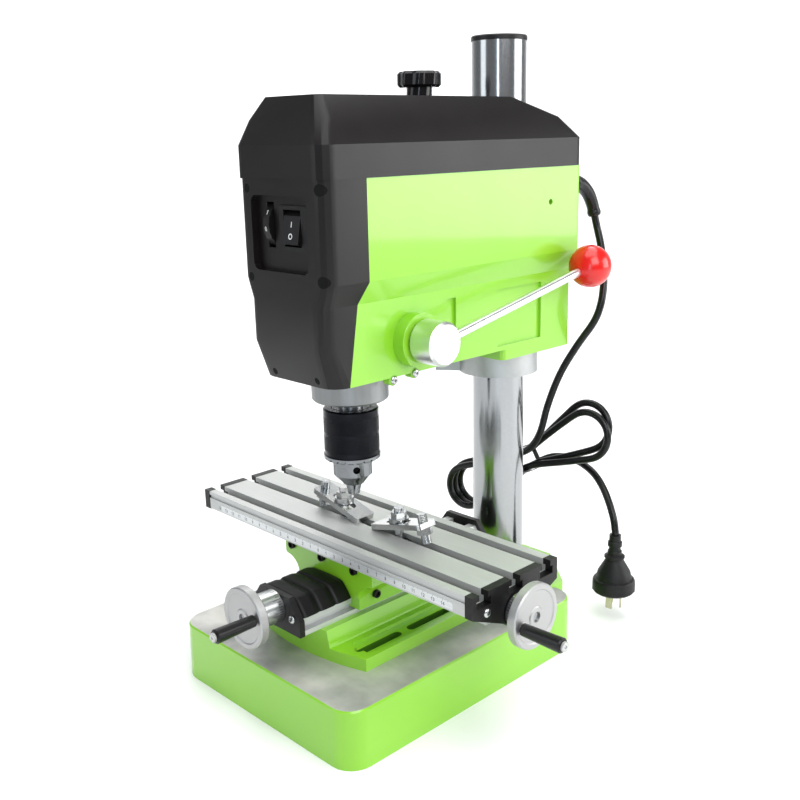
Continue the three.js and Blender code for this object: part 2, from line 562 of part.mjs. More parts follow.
// Table: T-slots above, the dovetail way with the screw's channel below.
const slotCentre = (share) => table.front + share * table.width;
function slotOutline(share) {
  const neck = table.top - table.slotNeck;
  const low = neck - table.slotDeep;
  const right = [
    [table.slotWide / 2, low], [table.slotWide / 2, neck], [table.slotMouth / 2, neck],
    [table.slotMouth / 2, table.top + OVERRUN],
  ];
  return mirrored(right).map(([y, z]) => [y + slotCentre(share), z]);
}
function slotCuts(x0, x1) {
  return table.slotShares.map((share) => alongX(slotOutline(share), x0, x1));
}
function scaleBox(deep) {
  const high = table.top - table.scaleDrop;
  return block(table.x + table.scaleInset[0], tableEnd - table.scaleInset[1],
    table.front, table.front + deep, high - table.scaleHigh, high);
}
function xTable() {
  const rear = table.front + table.width;
  const slab = block(table.x, tableEnd, table.front, rear, tableUnder, table.top);
  const way = alongX(wayOutline(), table.x, tableEnd);
  const channel = block(table.x - OVERRUN, tableEnd + OVERRUN, tableMid - table.channel,
    tableMid + table.channel, wayBottom - OVERRUN, tableUnder - table.channelRoof);
  const line = table.top - table.grooveDrop;
  const groove = block(table.x - OVERRUN, tableEnd + OVERRUN, table.front - OVERRUN,
    table.front + table.grooveDeep, line - table.groove, line);
  return cut(join(slab, way), channel, groove, scaleBox(table.scaleDeep),
    ...slotCuts(table.x - OVERRUN, tableEnd + OVERRUN));
}

function tableCap(x0, x1, outward) {
  const over = endCap.over;
  const [y0, y1] = [table.front - over, table.front + table.width + over];
  const low = tableUnder - endCap.low;
  const outline = [
    [y0, tableUnder - over], [tableMid - endCap.foot, low], [tableMid + endCap.foot, low],
    [y1, tableUnder - over], [y1, table.top + over], [y0, table.top + over],
  ];
  const [b0, b1] = outward > 0 ? [x0, x1 + endCap.bossOut] : [x0 - endCap.bossOut, x1];
  const boss = rod(endCap.bossR, b0, b1, 'x', [0, tableMid, xScrewZ], ROUND);
  const bore = rod(screw.journal / 2 + RUNNING_FIT, b0 - OVERRUN, b1 + OVERRUN, 'x',
    [0, tableMid, xScrewZ]);
  return cut(join(alongX(outline, x0, x1), boss), bore, ...slotCuts(x0 - OVERRUN, x1 + OVERRUN));
}

// Work clamps. Each strap leans on its heel bolt and is held down by a stud in the middle slot.
function clampPieces({ tip, way, stud, studOver, boltOver }) {
  const [studTop, boltTop] = [table.top + studOver, table.top + boltOver];
  const slope = radians(strap.tilt);
  const foot = [tip, table.top + strap.tipLift];
  const along = [way * Math.cos(slope), Math.sin(slope)];
  const up = [-way * Math.sin(slope), Math.cos(slope)];
  const at = (u, v) => [foot[0] + u * along[0] + v * up[0], foot[1] + u * along[1] + v * up[1]];
  const tilted = (outline, v0, v1) => solidOf(placed(pulled(outline, v1 - v0),
    [along[0], 0, along[1]], [0, way, 0], [up[0], 0, up[1]],
    [at(0, v0)[0], strap.y, at(0, v0)[1]]));
  const half = strap.width / 2;
  const bar = tilted(rounded(0, strap.long, -half, half, strap.corner, 3), 0, strap.thick);
  const slotMid = Math.abs(stud - tip) / Math.cos(slope) + strap.thick / 2 * Math.tan(slope);
  const slot = tilted(obround(0, 0, strap.slot, strap.slotLong).map(([u, v]) => [v + slotMid, u]),
    -OVERRUN, strap.thick + OVERRUN);
  const heelHole = tilted(polygon(strap.heel, 0, strap.boltR + SEAT_GAP, SMALL_ROUND),
    -OVERRUN, strap.thick + OVERRUN);
  const turnedUp = (r, v0, v1, sides) => tilted(polygon(strap.heel, 0, r, sides), v0, v1);
  const reachTop = (boltTop - at(strap.heel, 0)[1]) / up[1] - strap.boltR * Math.abs(up[0] / up[1]);
  const footDrop = (at(strap.heel, 0)[1] - table.top) / up[1] - strap.boltR * Math.abs(up[0] / up[1]);
  const bolt = join(
    turnedUp(strap.boltR, -footDrop + SEAT_GAP, reachTop, SMALL_ROUND),
    turnedUp(strap.nutR, -SEAT_GAP - strap.nutHigh, -SEAT_GAP, 6),
  );
  const nutBase = Math.max(...[-1, 1].map((s) => at(slotMid + s * strap.washer, strap.thick)[1]));
  const nutLow = nutBase + SEAT_GAP;
  const shaft = rod(strap.boltR, table.top - table.slotNeck - strap.teeGap, studTop, 'z', [stud, strap.y, 0]);
  const tee = block(stud - strap.studBase, stud + strap.studBase, strap.y - table.slotWide / 2 + strap.teeGap,
    strap.y + table.slotWide / 2 - strap.teeGap, table.top - table.slotNeck - table.slotDeep + SEAT_GAP,
    table.top - table.slotNeck - SEAT_GAP);
  const seat = tilted(rect(-strap.width, strap.long + strap.width, -strap.width, strap.width),
    -strap.thick, strap.thick + SEAT_GAP);
  const washerLow = Math.min(...[-1, 1].map((s) => at(slotMid + s * strap.washer, strap.thick)[1]));
  const washer = cut(rod(strap.washer, washerLow, nutLow + strap.washerHigh, 'z',
    [stud, strap.y, 0]), seat);
  const nut = upright(polygon(stud, strap.y, strap.nutR, 6), nutLow,
    nutLow + strap.washerHigh + strap.nutHigh);
  return { bar: cut(bar, slot, heelHole), bolt, stud: join(shaft, tee, washer, nut) };
}

// Head: the outer form and the hollow are shared by the casting and the black front panel.
const plans = (rings, inset) => rings.map(([z, half, front, rear, r]) => {
  const radii = [r, r, head.rearCorner, head.rearCorner].map(
    (c) => Math.max(c - inset, head.leastCorner));
  return level(rounded(-half + inset, half - inset, front + inset, rear - inset, radii), z);
});
const headHalf = headRings[1][1];
const headFront = headRings.at(-1)[2];
const headRear = headRings[1][3];
const headSide = headRings.at(-1)[1];
const frontRegion = () => alongX([[-head.reach * 2, splitLine[0][1]], ...splitLine,
  [-head.reach * 2, splitLine.at(-1)[1]]], -head.reach, head.reach);
const headHollow = () => lofted(plans(hollowRings, head.wall));

function headCasting() {
  const outer = lofted(plans(headRings, 0));
  const rearBlock = upright(rounded(-headHalf, headHalf, head.rearBlockFront, headRear, head.rearCorner),
    head.rearBottom, head.floor);
  const deck = block(-head.reach, head.reach, splitLine.at(-1)[0], headRear, head.deckLow, head.deckTop);
  const shell = cut(join(outer, rearBlock), frontRegion(), cut(headHollow(), deck));
  const housing = rod(head.housingR, head.bottom, head.housingTop, 'z', [0, spindleY, 0], ROUND);
  const sleeve = rod(column.dia / 2 + head.columnWall, head.rearBottom, head.top, 'z',
    [0, column.y, 0], FINE_ROUND);
  const bearing = rod(pulley.bossR, head.deckLow, pulley.bossTop, 'z', [0, spindleY, 0]);
  const at = [0, feed.y, feed.z];
  const tube = rod(feed.tubeR, 0, headHalf, 'x', at);
  const tail = rod(feed.tailR + feed.tailWall, -headHalf + SEAT_GAP, 0, 'x', at);
  const boss = rod(feed.bossR, headHalf - head.wall, feed.bossTo, 'x', at, ROUND);
  const sides = [-1, 1].flatMap((side) => sideRecess.map(([y0, y1, z0, z1]) => {
    const [a, b] = [side * (headHalf - head.recess), side * (headHalf + OVERRUN)];
    return block(Math.min(a, b), Math.max(a, b), y0, y1, z0, z1);
  }));
  const [holeY, holeZ, holeR] = head.hole;
  return cut(
    join(shell, housing, sleeve, bearing, tube, tail, boss),
    rod(quill.dia / 2 + RUNNING_FIT, head.bottom - OVERRUN, head.housingTop + OVERRUN, 'z',
      [0, spindleY, 0], ROUND),
    rod(column.dia / 2 + RUNNING_FIT, head.rearBottom - OVERRUN, head.top + OVERRUN, 'z',
      [0, column.y, 0], FINE_ROUND),
    rod(pulley.hubR + RUNNING_FIT, head.deckLow - OVERRUN, pulley.bossTop + OVERRUN, 'z',
      [0, spindleY, 0], ROUND),
    rod(motor.hole, head.deckLow - OVERRUN, head.deckTop + OVERRUN, 'z', [0, motor.y, 0]),
    rod(feed.shaftR + RUNNING_FIT, -gear.width, feed.bossTo + OVERRUN, 'x', at, ROUND),
    rod(feed.tailR + RUNNING_FIT, -headHalf - OVERRUN, 0, 'x', at),
    rod(holeR, headSide - head.wall - OVERRUN, headSide + OVERRUN, 'x', [0, holeY, holeZ]),
    ...sides,
  );
}

const bayFloor = headFront + bay.depth;
const rockerY = bayFloor + rockerSwitch.pivot;
const rockerZ = (rockerSwitch.z0 + rockerSwitch.z1) / 2;
const dialY = bayFloor - dial.proud + dial.r;

function frontPanel() {
  const shell = cut(lofted(plans(headRings, 0)).intersect(frontRegion()), headHollow());
  const back = block(bay.x0 - bay.lip, bay.x1 + bay.lip, headFront + bay.back, bayFloor + bay.back,
    bay.z0 - bay.lip, bay.z1 + bay.lip);
  const well = alongY(rounded(bay.x0, bay.x1, bay.z0, bay.z1, bay.corner), headFront - OVERRUN, bayFloor);
  const r = rockerSwitch;
  const gap = r.wall + r.cutGap;
  const opening = block(r.x0 - gap, r.x1 + gap, headFront, bayFloor + bay.back + OVERRUN,
    r.z0 - gap, r.z1 + gap);
  const slot = block(dial.x0 - dial.slotGap, dial.x1 + dial.slotGap, headFront,
    bayFloor + bay.back + OVERRUN, dial.z - dial.slotHalf, dial.z + dial.slotHalf);
  const lugs = [dial.x0 - dial.sideGap - dial.lug, dial.x1 + dial.sideGap].map((x) => block(x,
    x + dial.lug, bayFloor + dial.axle, dialY + dial.lugHalf, dial.z - dial.lugHalf,
    dial.z + dial.lugHalf));
  const axle = rod(dial.axle + RUNNING_FIT, dial.x0 - head.wall * 2, dial.x1 + head.wall * 2, 'x',
    [0, dialY, dial.z]);
  return cut(join(shell, back, ...lugs), well, opening, slot, axle);
}

function switchFrame() {
  const r = rockerSwitch;
  const [x0, x1, z0, z1] = r.frame;
  const plateFace = block(x0, x1, bayFloor - r.lip, bayFloor, z0, z1);
  const shell = block(r.x0 - r.wall, r.x1 + r.wall, bayFloor - r.lip, bayFloor + r.deep,
    r.z0 - r.wall, r.z1 + r.wall);
  const inside = block(r.x0, r.x1, bayFloor - r.lip - OVERRUN, bayFloor + r.deep - r.wall, r.z0, r.z1);
  const pin = rod(r.pin + RUNNING_FIT, r.x0 - r.wall - OVERRUN, r.x1 + r.wall + OVERRUN, 'x',
    [0, rockerY, rockerZ]);
  return cut(join(plateFace, shell), inside, pin);
}

function rockerPiece() {
  const r = rockerSwitch;
  const turn = radians(-r.angle);
  const outline = r.face.map(([y, z]) => [
    rockerY + y * Math.cos(turn) - z * Math.sin(turn),
    rockerZ + y * Math.sin(turn) + z * Math.cos(turn),
  ]);
  return join(alongX(outline, r.x0 + r.sideGap, r.x1 - r.sideGap),
    rod(r.pin, r.x0 - r.wall, r.x1 + r.wall, 'x', [0, rockerY, rockerZ]));
}

function speedDial() {
  const rim = Array.from({ length: dial.ribs * 2 }, (_, i) => {
    const r = dial.r - (i % 2) * dial.ribDeep;
    const angle = (i / (dial.ribs * 2)) * 2 * Math.PI;
    return [dialY + r * Math.cos(angle), dial.z + r * Math.sin(angle)];
  });
  return join(alongX(rim, dial.x0, dial.x1),
    rod(dial.axle, dial.x0 - dial.sideGap - dial.lug, dial.x1 + dial.sideGap + dial.lug, 'x',
      [0, dialY, dial.z]));
}

function topCover() {
  const rings = (inset) => coverRings.map(([z, half, front, rear, corner]) => {
    const r = Math.max(corner - inset, cover.leastCorner);
    return level(rounded(-half + inset, half - inset, front + inset, rear - inset, r), z);
  });
  const inner = rings(cover.wall);
  inner[0] = inner[0].map((p) => p.clone().setZ(p.z - OVERRUN));
  const last = inner.length - 1;
  inner[last] = inner[last].map((p) => p.clone().setZ(p.z - cover.wall));
  const crest = coverRings.at(-1)[0];
  return cut(lofted(rings(0)), lofted(inner),
    rod(column.dia / 2 + cover.holeGap, head.top, crest + OVERRUN, 'z', [0, column.y, 0], FINE_ROUND),
    rod(knob.spigot + RUNNING_FIT, crest - cover.wall * 2, crest + OVERRUN, 'z', [0, knob.y, 0]));
}

function coverKnob() {
  const crest = coverRings.at(-1)[0];
  const top = crest + knob.stemHigh + knob.headHigh;
  const lobed = (inset) => Array.from({ length: knob.lobes * 6 }, (_, i) => {
    const angle = (i / (knob.lobes * 6)) * 2 * Math.PI;
    const r = (knob.head - inset) * (1 - knob.lobeShare * (0.5 - 0.5 * Math.cos(knob.lobes * angle)));
    return [r * Math.cos(angle), knob.y + r * Math.sin(angle)];
  });
  return join(
    lofted([level(lobed(knob.edge), crest + knob.stemHigh), level(lobed(0), crest + knob.stemHigh + knob.edge),
      level(lobed(0), top - knob.edge), level(lobed(knob.edge), top)]),
    rod(knob.stem, crest, crest + knob.stemHigh + knob.edge, 'z', [0, knob.y, 0]),
    rod(knob.spigot, crest - knob.spigotLong, crest + knob.edge, 'z', [0, knob.y, 0]));
}

// Drive inside the head: motor, two pulleys and the belt round them.
function motorBody() {
  return join(rod(motor.dia / 2, head.floor, head.deckLow, 'z', [0, motor.y, 0], ROUND),
    rod(motor.shaft, head.deckLow - OVERRUN, motor.shaftTop, 'z', [0, motor.y, 0]));
}
function pulleyWheel(y, r, bore, low, hubR) {
  const [z0, z1] = [pulley.z, pulley.z + pulley.high];
  const rim = r + pulley.lip;
  const start = low < z0 ? [[bore, low], [hubR, low], [hubR, z0]] : [[bore, z0]];
  return turned([...start, [rim, z0], [rim, z0 + pulley.flange], [r, z0 + pulley.flange],
    [r, z1 - pulley.flange], [rim, z1 - pulley.flange], [rim, z1], [bore, z1], start[0]],
    'z', [0, y, 0], SMALL_ROUND);
}
function driveBelt() {
  const [big, small] = [pulley.drivenR, pulley.driveR];
  const reach = motor.y - spindleY;
  const loop = (extra) => {
    const wrap = Math.acos((big - small) / reach);
    const arc = (y, r, from, to, steps) => Array.from({ length: steps + 1 }, (_, i) => {
      const angle = from + ((to - from) * i) / steps;
      return [r * Math.sin(angle), y + r * Math.cos(angle)];
    });
    return [...arc(motor.y, small + extra, -wrap, wrap, 16),
      ...arc(spindleY, big + extra, wrap, 2 * Math.PI - wrap, 30)];
  };
  const [z0, z1] = [pulley.z + pulley.flange + SEAT_GAP, pulley.z + pulley.high - pulley.flange - SEAT_GAP];
  return cut(upright(loop(SEAT_GAP + pulley.belt), z0, z1),
    upright(loop(SEAT_GAP), z0 - OVERRUN, z1 + OVERRUN));
}

// Quill with its rack, driven by the pinion on the feed shaft.
const pitchR = gear.module * gear.teeth / 2;
const rackY = feed.y - pitchR;
const toothPitch = Math.PI * gear.module;
const addendum = gear.module - gear.thin;
const dedendum = gear.module * 1.25;

function quillSleeve() {
  const outer = quill.dia / 2;
  const bearing = spindle.dia / 2 + RUNNING_FIT;
  const [low, high] = [quill.bottom + quill.bearing, quill.top - quill.bearing];
  const body = turned([
    [bearing, quill.bottom], [outer - quill.edge, quill.bottom], [outer, quill.bottom + quill.edge],
    [outer, quill.top], [bearing, quill.top], [bearing, high], [quill.bore, high],
    [quill.bore, low], [bearing, low], [bearing, quill.bottom],
  ], 'z', [0, spindleY, 0]);
  const half = gear.width / 2 + SEAT_GAP;
  const spread = (gap) => Math.tan(radians(gear.angle)) * gap;
  const gaps = Array.from({ length: gear.gapsBelow + gear.gapsAbove + 1 }, (_, i) => {
    const z = feed.z + (i - gear.gapsBelow) * toothPitch;
    const mid = toothPitch / 4 + gear.thin / 2;
    const [tip, root] = [addendum + OVERRUN, dedendum];
    return alongX([
      [rackY + tip, z - mid - spread(tip)], [rackY + tip, z + mid + spread(tip)],
      [rackY - root, z + mid - spread(root)], [rackY - root, z - mid + spread(root)],
    ], gear.thin - half, half - gear.thin);
  });
  const z0 = feed.z - (gear.gapsBelow + 0.5) * toothPitch;
  const z1 = feed.z + (gear.gapsAbove + 0.5) * toothPitch;
  const flat = block(-half, half, rackY + addendum, feed.y, z0, z1);
  return cut(body, flat, ...gaps);
}

function pinionOutline() {
  const baseR = pitchR * Math.cos(radians(gear.angle));
  const involute = (a) => Math.tan(a) - a;
  const halfAngle = (r) => {
    const a = r > baseR ? Math.acos(baseR / r) : 0;
    return Math.PI / (2 * gear.teeth) - gear.thin / (2 * pitchR)
      + involute(radians(gear.angle)) - involute(a);
  };
  const tipR = pitchR + gear.module;
  const rootR = pitchR - dedendum;
  const radiiUp = [rootR, baseR, (baseR + tipR) / 2, tipR];
  return Array.from({ length: gear.teeth }, (_, k) => {
    const middle = Math.PI + (k / gear.teeth) * 2 * Math.PI;
    const rise = radiiUp.map((r) => [r, middle - halfAngle(r)]);
    const fall = radiiUp.map((r) => [r, middle + halfAngle(r)]).reverse();
    return [...rise, ...fall].map(([r, a]) => [feed.y + r * Math.cos(a), feed.z + r * Math.sin(a)]);
  }).flat();
}

function feedShaft() {
  const at = [0, feed.y, feed.z];
  const half = gear.width / 2;
  const root = pitchR - dedendum;
  const side = half + gear.module * 2;
  return join(
    turned([[0, feed.tailTo], [feed.tailR, feed.tailTo], [feed.tailR, -side], [root, -side],
      [root, feed.journalFrom], [feed.shaftR, feed.journalFrom], [feed.shaftR, feed.hubFrom],
      [feed.spigotR, feed.hubFrom], [feed.spigotR, feed.spigotTo], [0, feed.spigotTo]],
    'x', at, SMALL_ROUND),
    alongX(pinionOutline(), -half, half));
}

// The lever rod leans back from the hub; frame of the rod along its length.
const rise = radians(feed.riseAngle);
function leverPart(geometry) {
  const along = [0, Math.cos(rise), Math.sin(rise)];
  const side = [0, -Math.sin(rise), Math.cos(rise)];
  return solidOf(placed(geometry, side, along, [-1, 0, 0], [feed.rodX, feed.y, feed.z]));
}
const leverTurned = (profile, sides) => leverPart(new THREE.LatheGeometry(
  profile.map(([r, h]) => new THREE.Vector2(r, h)), sides));

function feedHub() {
  const edge = feed.hubEdge;
  const hub = turned([
    [0, feed.hubFrom], [feed.hubR - edge, feed.hubFrom], [feed.hubR, feed.hubFrom + edge],
    [feed.hubR, feed.hubTo - edge], [feed.hubR - edge, feed.hubTo], [0, feed.hubTo],
  ], 'x', [0, feed.y, feed.z], SMALL_ROUND);
  return cut(hub,
    rod(feed.spigotR + RUNNING_FIT, feed.hubFrom - OVERRUN, feed.spigotTo + SEAT_GAP, 'x',
      [0, feed.y, feed.z]),
    leverTurned(disc(feed.rodDia / 2 + RUNNING_FIT, -feed.rodSeat, feed.hubR + OVERRUN), SMALL_ROUND));
}
function feedRod() {
  return leverTurned(disc(feed.rodDia / 2, -feed.rodSeat + SEAT_GAP, feed.reach - feed.ballR + feed.ballSeat),
    SMALL_ROUND);
}
function feedBall() {
  const bore = feed.rodDia / 2 + RUNNING_FIT;
  const start = Math.asin(bore / feed.ballR);
  const arc = Array.from({ length: 15 }, (_, i) => {
    const angle = start + ((Math.PI - start) * i) / 14;
    return [i === 14 ? 0 : feed.ballR * Math.sin(angle), feed.reach - feed.ballR * Math.cos(angle)];
  });
  const end = feed.reach - feed.ballR + feed.ballSeat + SEAT_GAP;
  return leverTurned([[0, end], [bore, end], ...arc], SMALL_ROUND);
}
function springCase() {
  const [outer, inner] = [feed.caseR, feed.caseR - feed.caseWall];
  return turned([[0, feed.caseTo], [outer - feed.caseEdge, feed.caseTo],
    [outer, feed.caseTo + feed.caseEdge],
    [outer, -headHalf], [inner, -headHalf], [inner, feed.caseTo + feed.caseWall],
    [0, feed.caseTo + feed.caseWall]], 'x', [0, feed.y, feed.z], SMALL_ROUND);
}

function quillCollar() {
  const edge = quill.collarEdge;
  const bore = quill.dia / 2 + RUNNING_FIT;
  return turned([[bore, quill.collarLow], [quill.collarR - edge, quill.collarLow],
    [quill.collarR, quill.collarLow + edge], [quill.collarR, head.bottom], [bore, head.bottom],
    [bore, quill.collarLow]], 'z', [0, spindleY, 0]);
}

// Spindle, chuck body, the sleeve with its ring of teeth, and three leaning jaws.
const chuckAt = [0, spindleY, 0];
function spindleShaft() {
  const r = spindle.dia / 2;
  return turned([
    [0, spindle.arborLow], [spindle.arbor, spindle.arborLow], [spindle.arbor, chuck.top], [r, chuck.top],
    [r, spindle.shoulder], [spindle.spline / 2, spindle.shoulder], [spindle.spline / 2, spindle.top],
    [0, spindle.top],
  ], 'z', chuckAt, SMALL_ROUND);
}
function jawFrame(k, lift) {
  const angle = Math.PI / 6 + (k * 2 * Math.PI) / 3;
  const out = new THREE.Vector3(Math.cos(angle), Math.sin(angle), 0);
  const tilt = radians(chuck.jawTilt);
  const up = out.clone().multiplyScalar(Math.sin(tilt)).setZ(Math.cos(tilt));
  const side = new THREE.Vector3(-Math.sin(angle), Math.cos(angle), 0);
  const depth = up.clone().cross(side);
  const at = out.clone().multiplyScalar(chuck.jawSpread).setY(out.y * chuck.jawSpread + spindleY);
  at.setZ(chuck.tip).addScaledVector(up, lift);
  return { angle, axes: [side.toArray(), up.toArray(), depth.negate().toArray(), at.toArray()] };
}
function jawRod(k, radius, from, to) {
  const { axes } = jawFrame(k, 0);
  const profile = disc(radius, from, to).map(([r, h]) => new THREE.Vector2(r, h));
  return solidOf(placed(new THREE.LatheGeometry(profile, PIN_ROUND), ...axes));
}
function jawPiece(k) {
  const { angle } = jawFrame(k, 0);
  const start = [chuck.jawGap * 2 * Math.cos(angle), spindleY + chuck.jawGap * 2 * Math.sin(angle)];
  const far = chuck.bodyR * 3;
  const wedge = upright([start, ...[-1, 1].map((s) => [
    start[0] + far * Math.cos(angle + (s * Math.PI) / 3),
    start[1] + far * Math.sin(angle + (s * Math.PI) / 3),
  ])], chuck.tip, chuck.top);
  return jawRod(k, chuck.jawR, -chuck.jawR, chuck.jawLong).intersect(wedge);
}
function chuckBody() {
  const bodyR = chuck.bodyR;
  const turnedBody = turned([
    [0, chuck.coneLow], [chuck.coneR, chuck.coneLow], [bodyR, chuck.bodyLow],
    [bodyR, chuck.top - chuck.edge], [bodyR - chuck.edge, chuck.top], [0, chuck.top],
  ], 'z', chuckAt);
  const bores = [0, 1, 2].map((k) => jawRod(k, chuck.jawR + chuck.jawSlack, -chuck.jawLong,
    chuck.jawLong + chuck.open + SEAT_GAP));
  const keys = [0, 1, 2].map((k) => {
    const angle = jawFrame(k, 0).angle + Math.PI / 3;
    return solidOf(placed(new THREE.LatheGeometry(
      disc(chuck.keyR, bodyR - chuck.keyR, bodyR + OVERRUN).map(([r, h]) => new THREE.Vector2(r, h)),
      PIN_ROUND), [-Math.sin(angle), Math.cos(angle), 0], [Math.cos(angle), Math.sin(angle), 0],
      [0, 0, -1], [0, spindleY, chuck.keyZ]));
  });
  return cut(turnedBody, ...bores, ...keys,
    rod(spindle.arbor + RUNNING_FIT, spindle.arborLow - SEAT_GAP, chuck.top + OVERRUN, 'z', chuckAt));
}
function chuckSleeve() {
  const bore = chuck.bodyR + RUNNING_FIT;
  const edge = chuck.sleeveEdge;
  const body = turned([
    [bore, chuck.ringLow], [chuck.ringR - edge, chuck.ringLow], [chuck.ringR, chuck.ringLow + edge],
    [chuck.ringR, chuck.sleeveLow + chuck.edge], [chuck.sleeveR, chuck.sleeveLow + edge],
    [chuck.sleeveR, chuck.top - edge], [chuck.sleeveR - edge, chuck.top], [bore, chuck.top],
    [bore, chuck.ringLow],
  ], 'z', chuckAt, FINE_ROUND);
  const depth = chuck.sleeveLow - chuck.ringLow;
  const teeth = Array.from({ length: chuck.teeth }, (_, k) => {
    const angle = (k / chuck.teeth) * 2 * Math.PI;
    const wide = (Math.PI * chuck.ringR) / chuck.teeth / 2;
    const notch = new THREE.ExtrudeGeometry(new THREE.Shape([
      new THREE.Vector2(-wide, -OVERRUN), new THREE.Vector2(wide, -OVERRUN),
      new THREE.Vector2(wide / 2, depth / 1.5), new THREE.Vector2(-wide / 2, depth / 1.5),
    ]), { depth: chuck.toothDeep + OVERRUN * 2, bevelEnabled: false });
    const out = [Math.cos(angle), Math.sin(angle), 0];
    const from = chuck.ringR - chuck.toothDeep - OVERRUN;
    return solidOf(placed(notch, [-Math.sin(angle), Math.cos(angle), 0], [0, 0, 1], out,
      [out[0] * from, spindleY + out[1] * from, chuck.ringLow]));
  });
  return cut(body, ...teeth);
}

// Split collar that the head rests on, with its bolt across the ears.
function clampTurn(solid) {
  return solid.translate([0, -column.y, 0]).rotate([0, 0, clamp.earAngle]).translate([0, column.y, 0]);
}
function clampCollar() {
  const body = rod(clamp.r, clamp.low, clamp.high, 'z', [0, column.y, 0], FINE_ROUND);
  const ears = block(0, clamp.earOut, column.y - clamp.earHalf, column.y + clamp.earHalf, clamp.low,
    clamp.high);
  const slit = block(0, clamp.earOut + OVERRUN, column.y - clamp.slit / 2, column.y + clamp.slit / 2,
    clamp.low - OVERRUN, clamp.high + OVERRUN);
  const hole = rod(clamp.boltR + RUNNING_FIT, column.y - clamp.earHalf - OVERRUN,
    column.y + clamp.earHalf + OVERRUN, 'y', [clamp.earOut - clamp.earHalf, 0, clamp.boltZ]);
  return cut(clampTurn(cut(join(body, ears), slit, hole)),
    rod(column.dia / 2 + RUNNING_FIT, clamp.low - OVERRUN, clamp.high + OVERRUN, 'z',
      [0, column.y, 0], FINE_ROUND));
}
function clampBolt() {
  const at = [clamp.earOut - clamp.earHalf, 0, clamp.boltZ];
  const face = column.y - clamp.earHalf - SEAT_GAP;
  return clampTurn(join(
    rod(clamp.boltR, face - OVERRUN, column.y + clamp.earHalf, 'y', at),
    rod(clamp.boltHead, face - clamp.boltLong / 2, face, 'y', at, SMALL_ROUND)));
}

// Cord: gland, drop, a hank of loops, tail and plug.
function cordGland() {
  const [first] = glandPoints;
  const collar = rod(gland.flangeR, head.rearY, head.rearY + gland.flange, 'y', [first[0], 0, first[2]]);
  const tapering = tapered(glandPoints, gland.rootR, gland.tipR, SMALL_ROUND / 2, 8);
  const behind = block(first[0] - head.reach, first[0] + head.reach, head.rearY - head.reach,
    head.rearY, first[2] - head.reach, first[2] + head.reach);
  return join(cut(tapering, behind), collar);
}
// The hank is a long loop with round ends and a narrow waist, a sum of odd waves.
function coilPoints() {
  const { centre, lean, alongWaves, acrossWaves, tilt, lay, loops, loopSteps } = cord;
  const count = Math.round(loops * loopSteps);
  return Array.from({ length: count + 1 }, (_, i) => {
    const t = Math.PI / 2 + (i / loopSteps) * 2 * Math.PI;
    const u = alongWaves.reduce((sum, wave, k) => sum + wave * Math.cos((2 * k + 1) * t), 0);
    const v = acrossWaves.reduce((sum, wave, k) => sum + wave * Math.sin((2 * k + 1) * t), 0);
    return [centre[0] + lean[0] * u - lean[1] * v, centre[1] + tilt * u + (lay * i) / loopSteps,
      centre[2] + lean[1] * u + lean[0] * v];
  });
}
function cordPlug() {
  const body = turned(plug.profile, 'z', [plug.x, plug.y, 0], PIN_ROUND);
  const low = plug.profile[0][1];
  const pins = plug.pinTurns.map((degrees) => {
    const [c, s] = [Math.cos(radians(degrees)), Math.sin(radians(degrees))];
    const [half, wide] = [plug.pinThick / 2, plug.pinWide / 2];
    const middle = [plug.x + plug.pinFrom * c, plug.y + plug.pinFrom * s];
    return upright([[-wide, -half], [wide, -half], [wide, half], [-wide, half]].map(([u, v]) => [
      middle[0] + c * v - s * u, middle[1] + s * v + c * u]), plug.pinLow, low + OVERRUN);
  });
  return join(body, ...pins);
}

add('base_casting', finish.green, baseCasting());
add('column_tube', finish.steel, columnTube());
add('column_cap', finish.black, columnCap());
add('slide_base', finish.green, slideBase());
add('y_rail', finish.aluminium, yRail());
add('y_rail_front_cap', finish.black, yRailCap(rail.front - rail.cap, rail.front));
add('y_rail_rear_cap', finish.black, yRailCap(rail.rear, rail.rear + rail.cap));
add('way_cover', finish.rubber, wayCover());
add('saddle_casting', finish.green, saddleCasting());
add('y_nut', finish.brass, yNut());
add('x_nut', finish.brass, xNut());

const yAt = [0, 0, yScrewZ];
const yFace = yWheel.standOff - rail.front;
const yPin = [yWheel.pin[0], 0, yScrewZ + yWheel.pin[1]];
add('y_leadscrew', finish.steel, leadscrew('y', yAt, -1, yFace - wheel.seat,
  -rail.front - screw.shoulder, -rail.rear + screw.shoulder, -rail.rear - rail.cap + SEAT_GAP));
add('y_collar', finish.aluminium, wheelCollar('y', yAt, -1, -rail.front + rail.cap + SEAT_GAP,
  yFace - wheel.thick - SEAT_GAP));
add('y_wheel', finish.aluminium, handwheel('y', yAt, -1, yFace, yPin));
add('y_handle', finish.black, wheelHandle('y', -1, yFace, yPin));

add('x_table', finish.aluminium, xTable());
add('x_right_cap', finish.black, tableCap(tableEnd, tableEnd + endCap.thick, 1));
add('x_left_cap', finish.black, tableCap(table.x - endCap.thick, table.x, -1));
add('table_scale', finish.strip, scaleBox(table.scaleDeep - SEAT_GAP));
for (const set of clampSets) {
  const pieces = clampPieces(set);
  add(`clamp_${set.side}_strap`, finish.steel, pieces.bar);
  add(`clamp_${set.side}_bolt`, finish.steel, pieces.bolt);
  add(`clamp_${set.side}_stud`, finish.steel, pieces.stud);
}
const xAt = [0, tableMid, xScrewZ];
const xPin = [0, tableMid + xWheel.pin[0], xScrewZ + xWheel.pin[1]];
const capFace = tableEnd + endCap.thick + endCap.bossOut;
const xFace = tableEnd + xWheel.standOff;
add('x_leadscrew', finish.steel, leadscrew('x', xAt, 1, xFace - wheel.seat,
  tableEnd - screw.shoulder, table.x + screw.shoulder, table.x - endCap.thick));
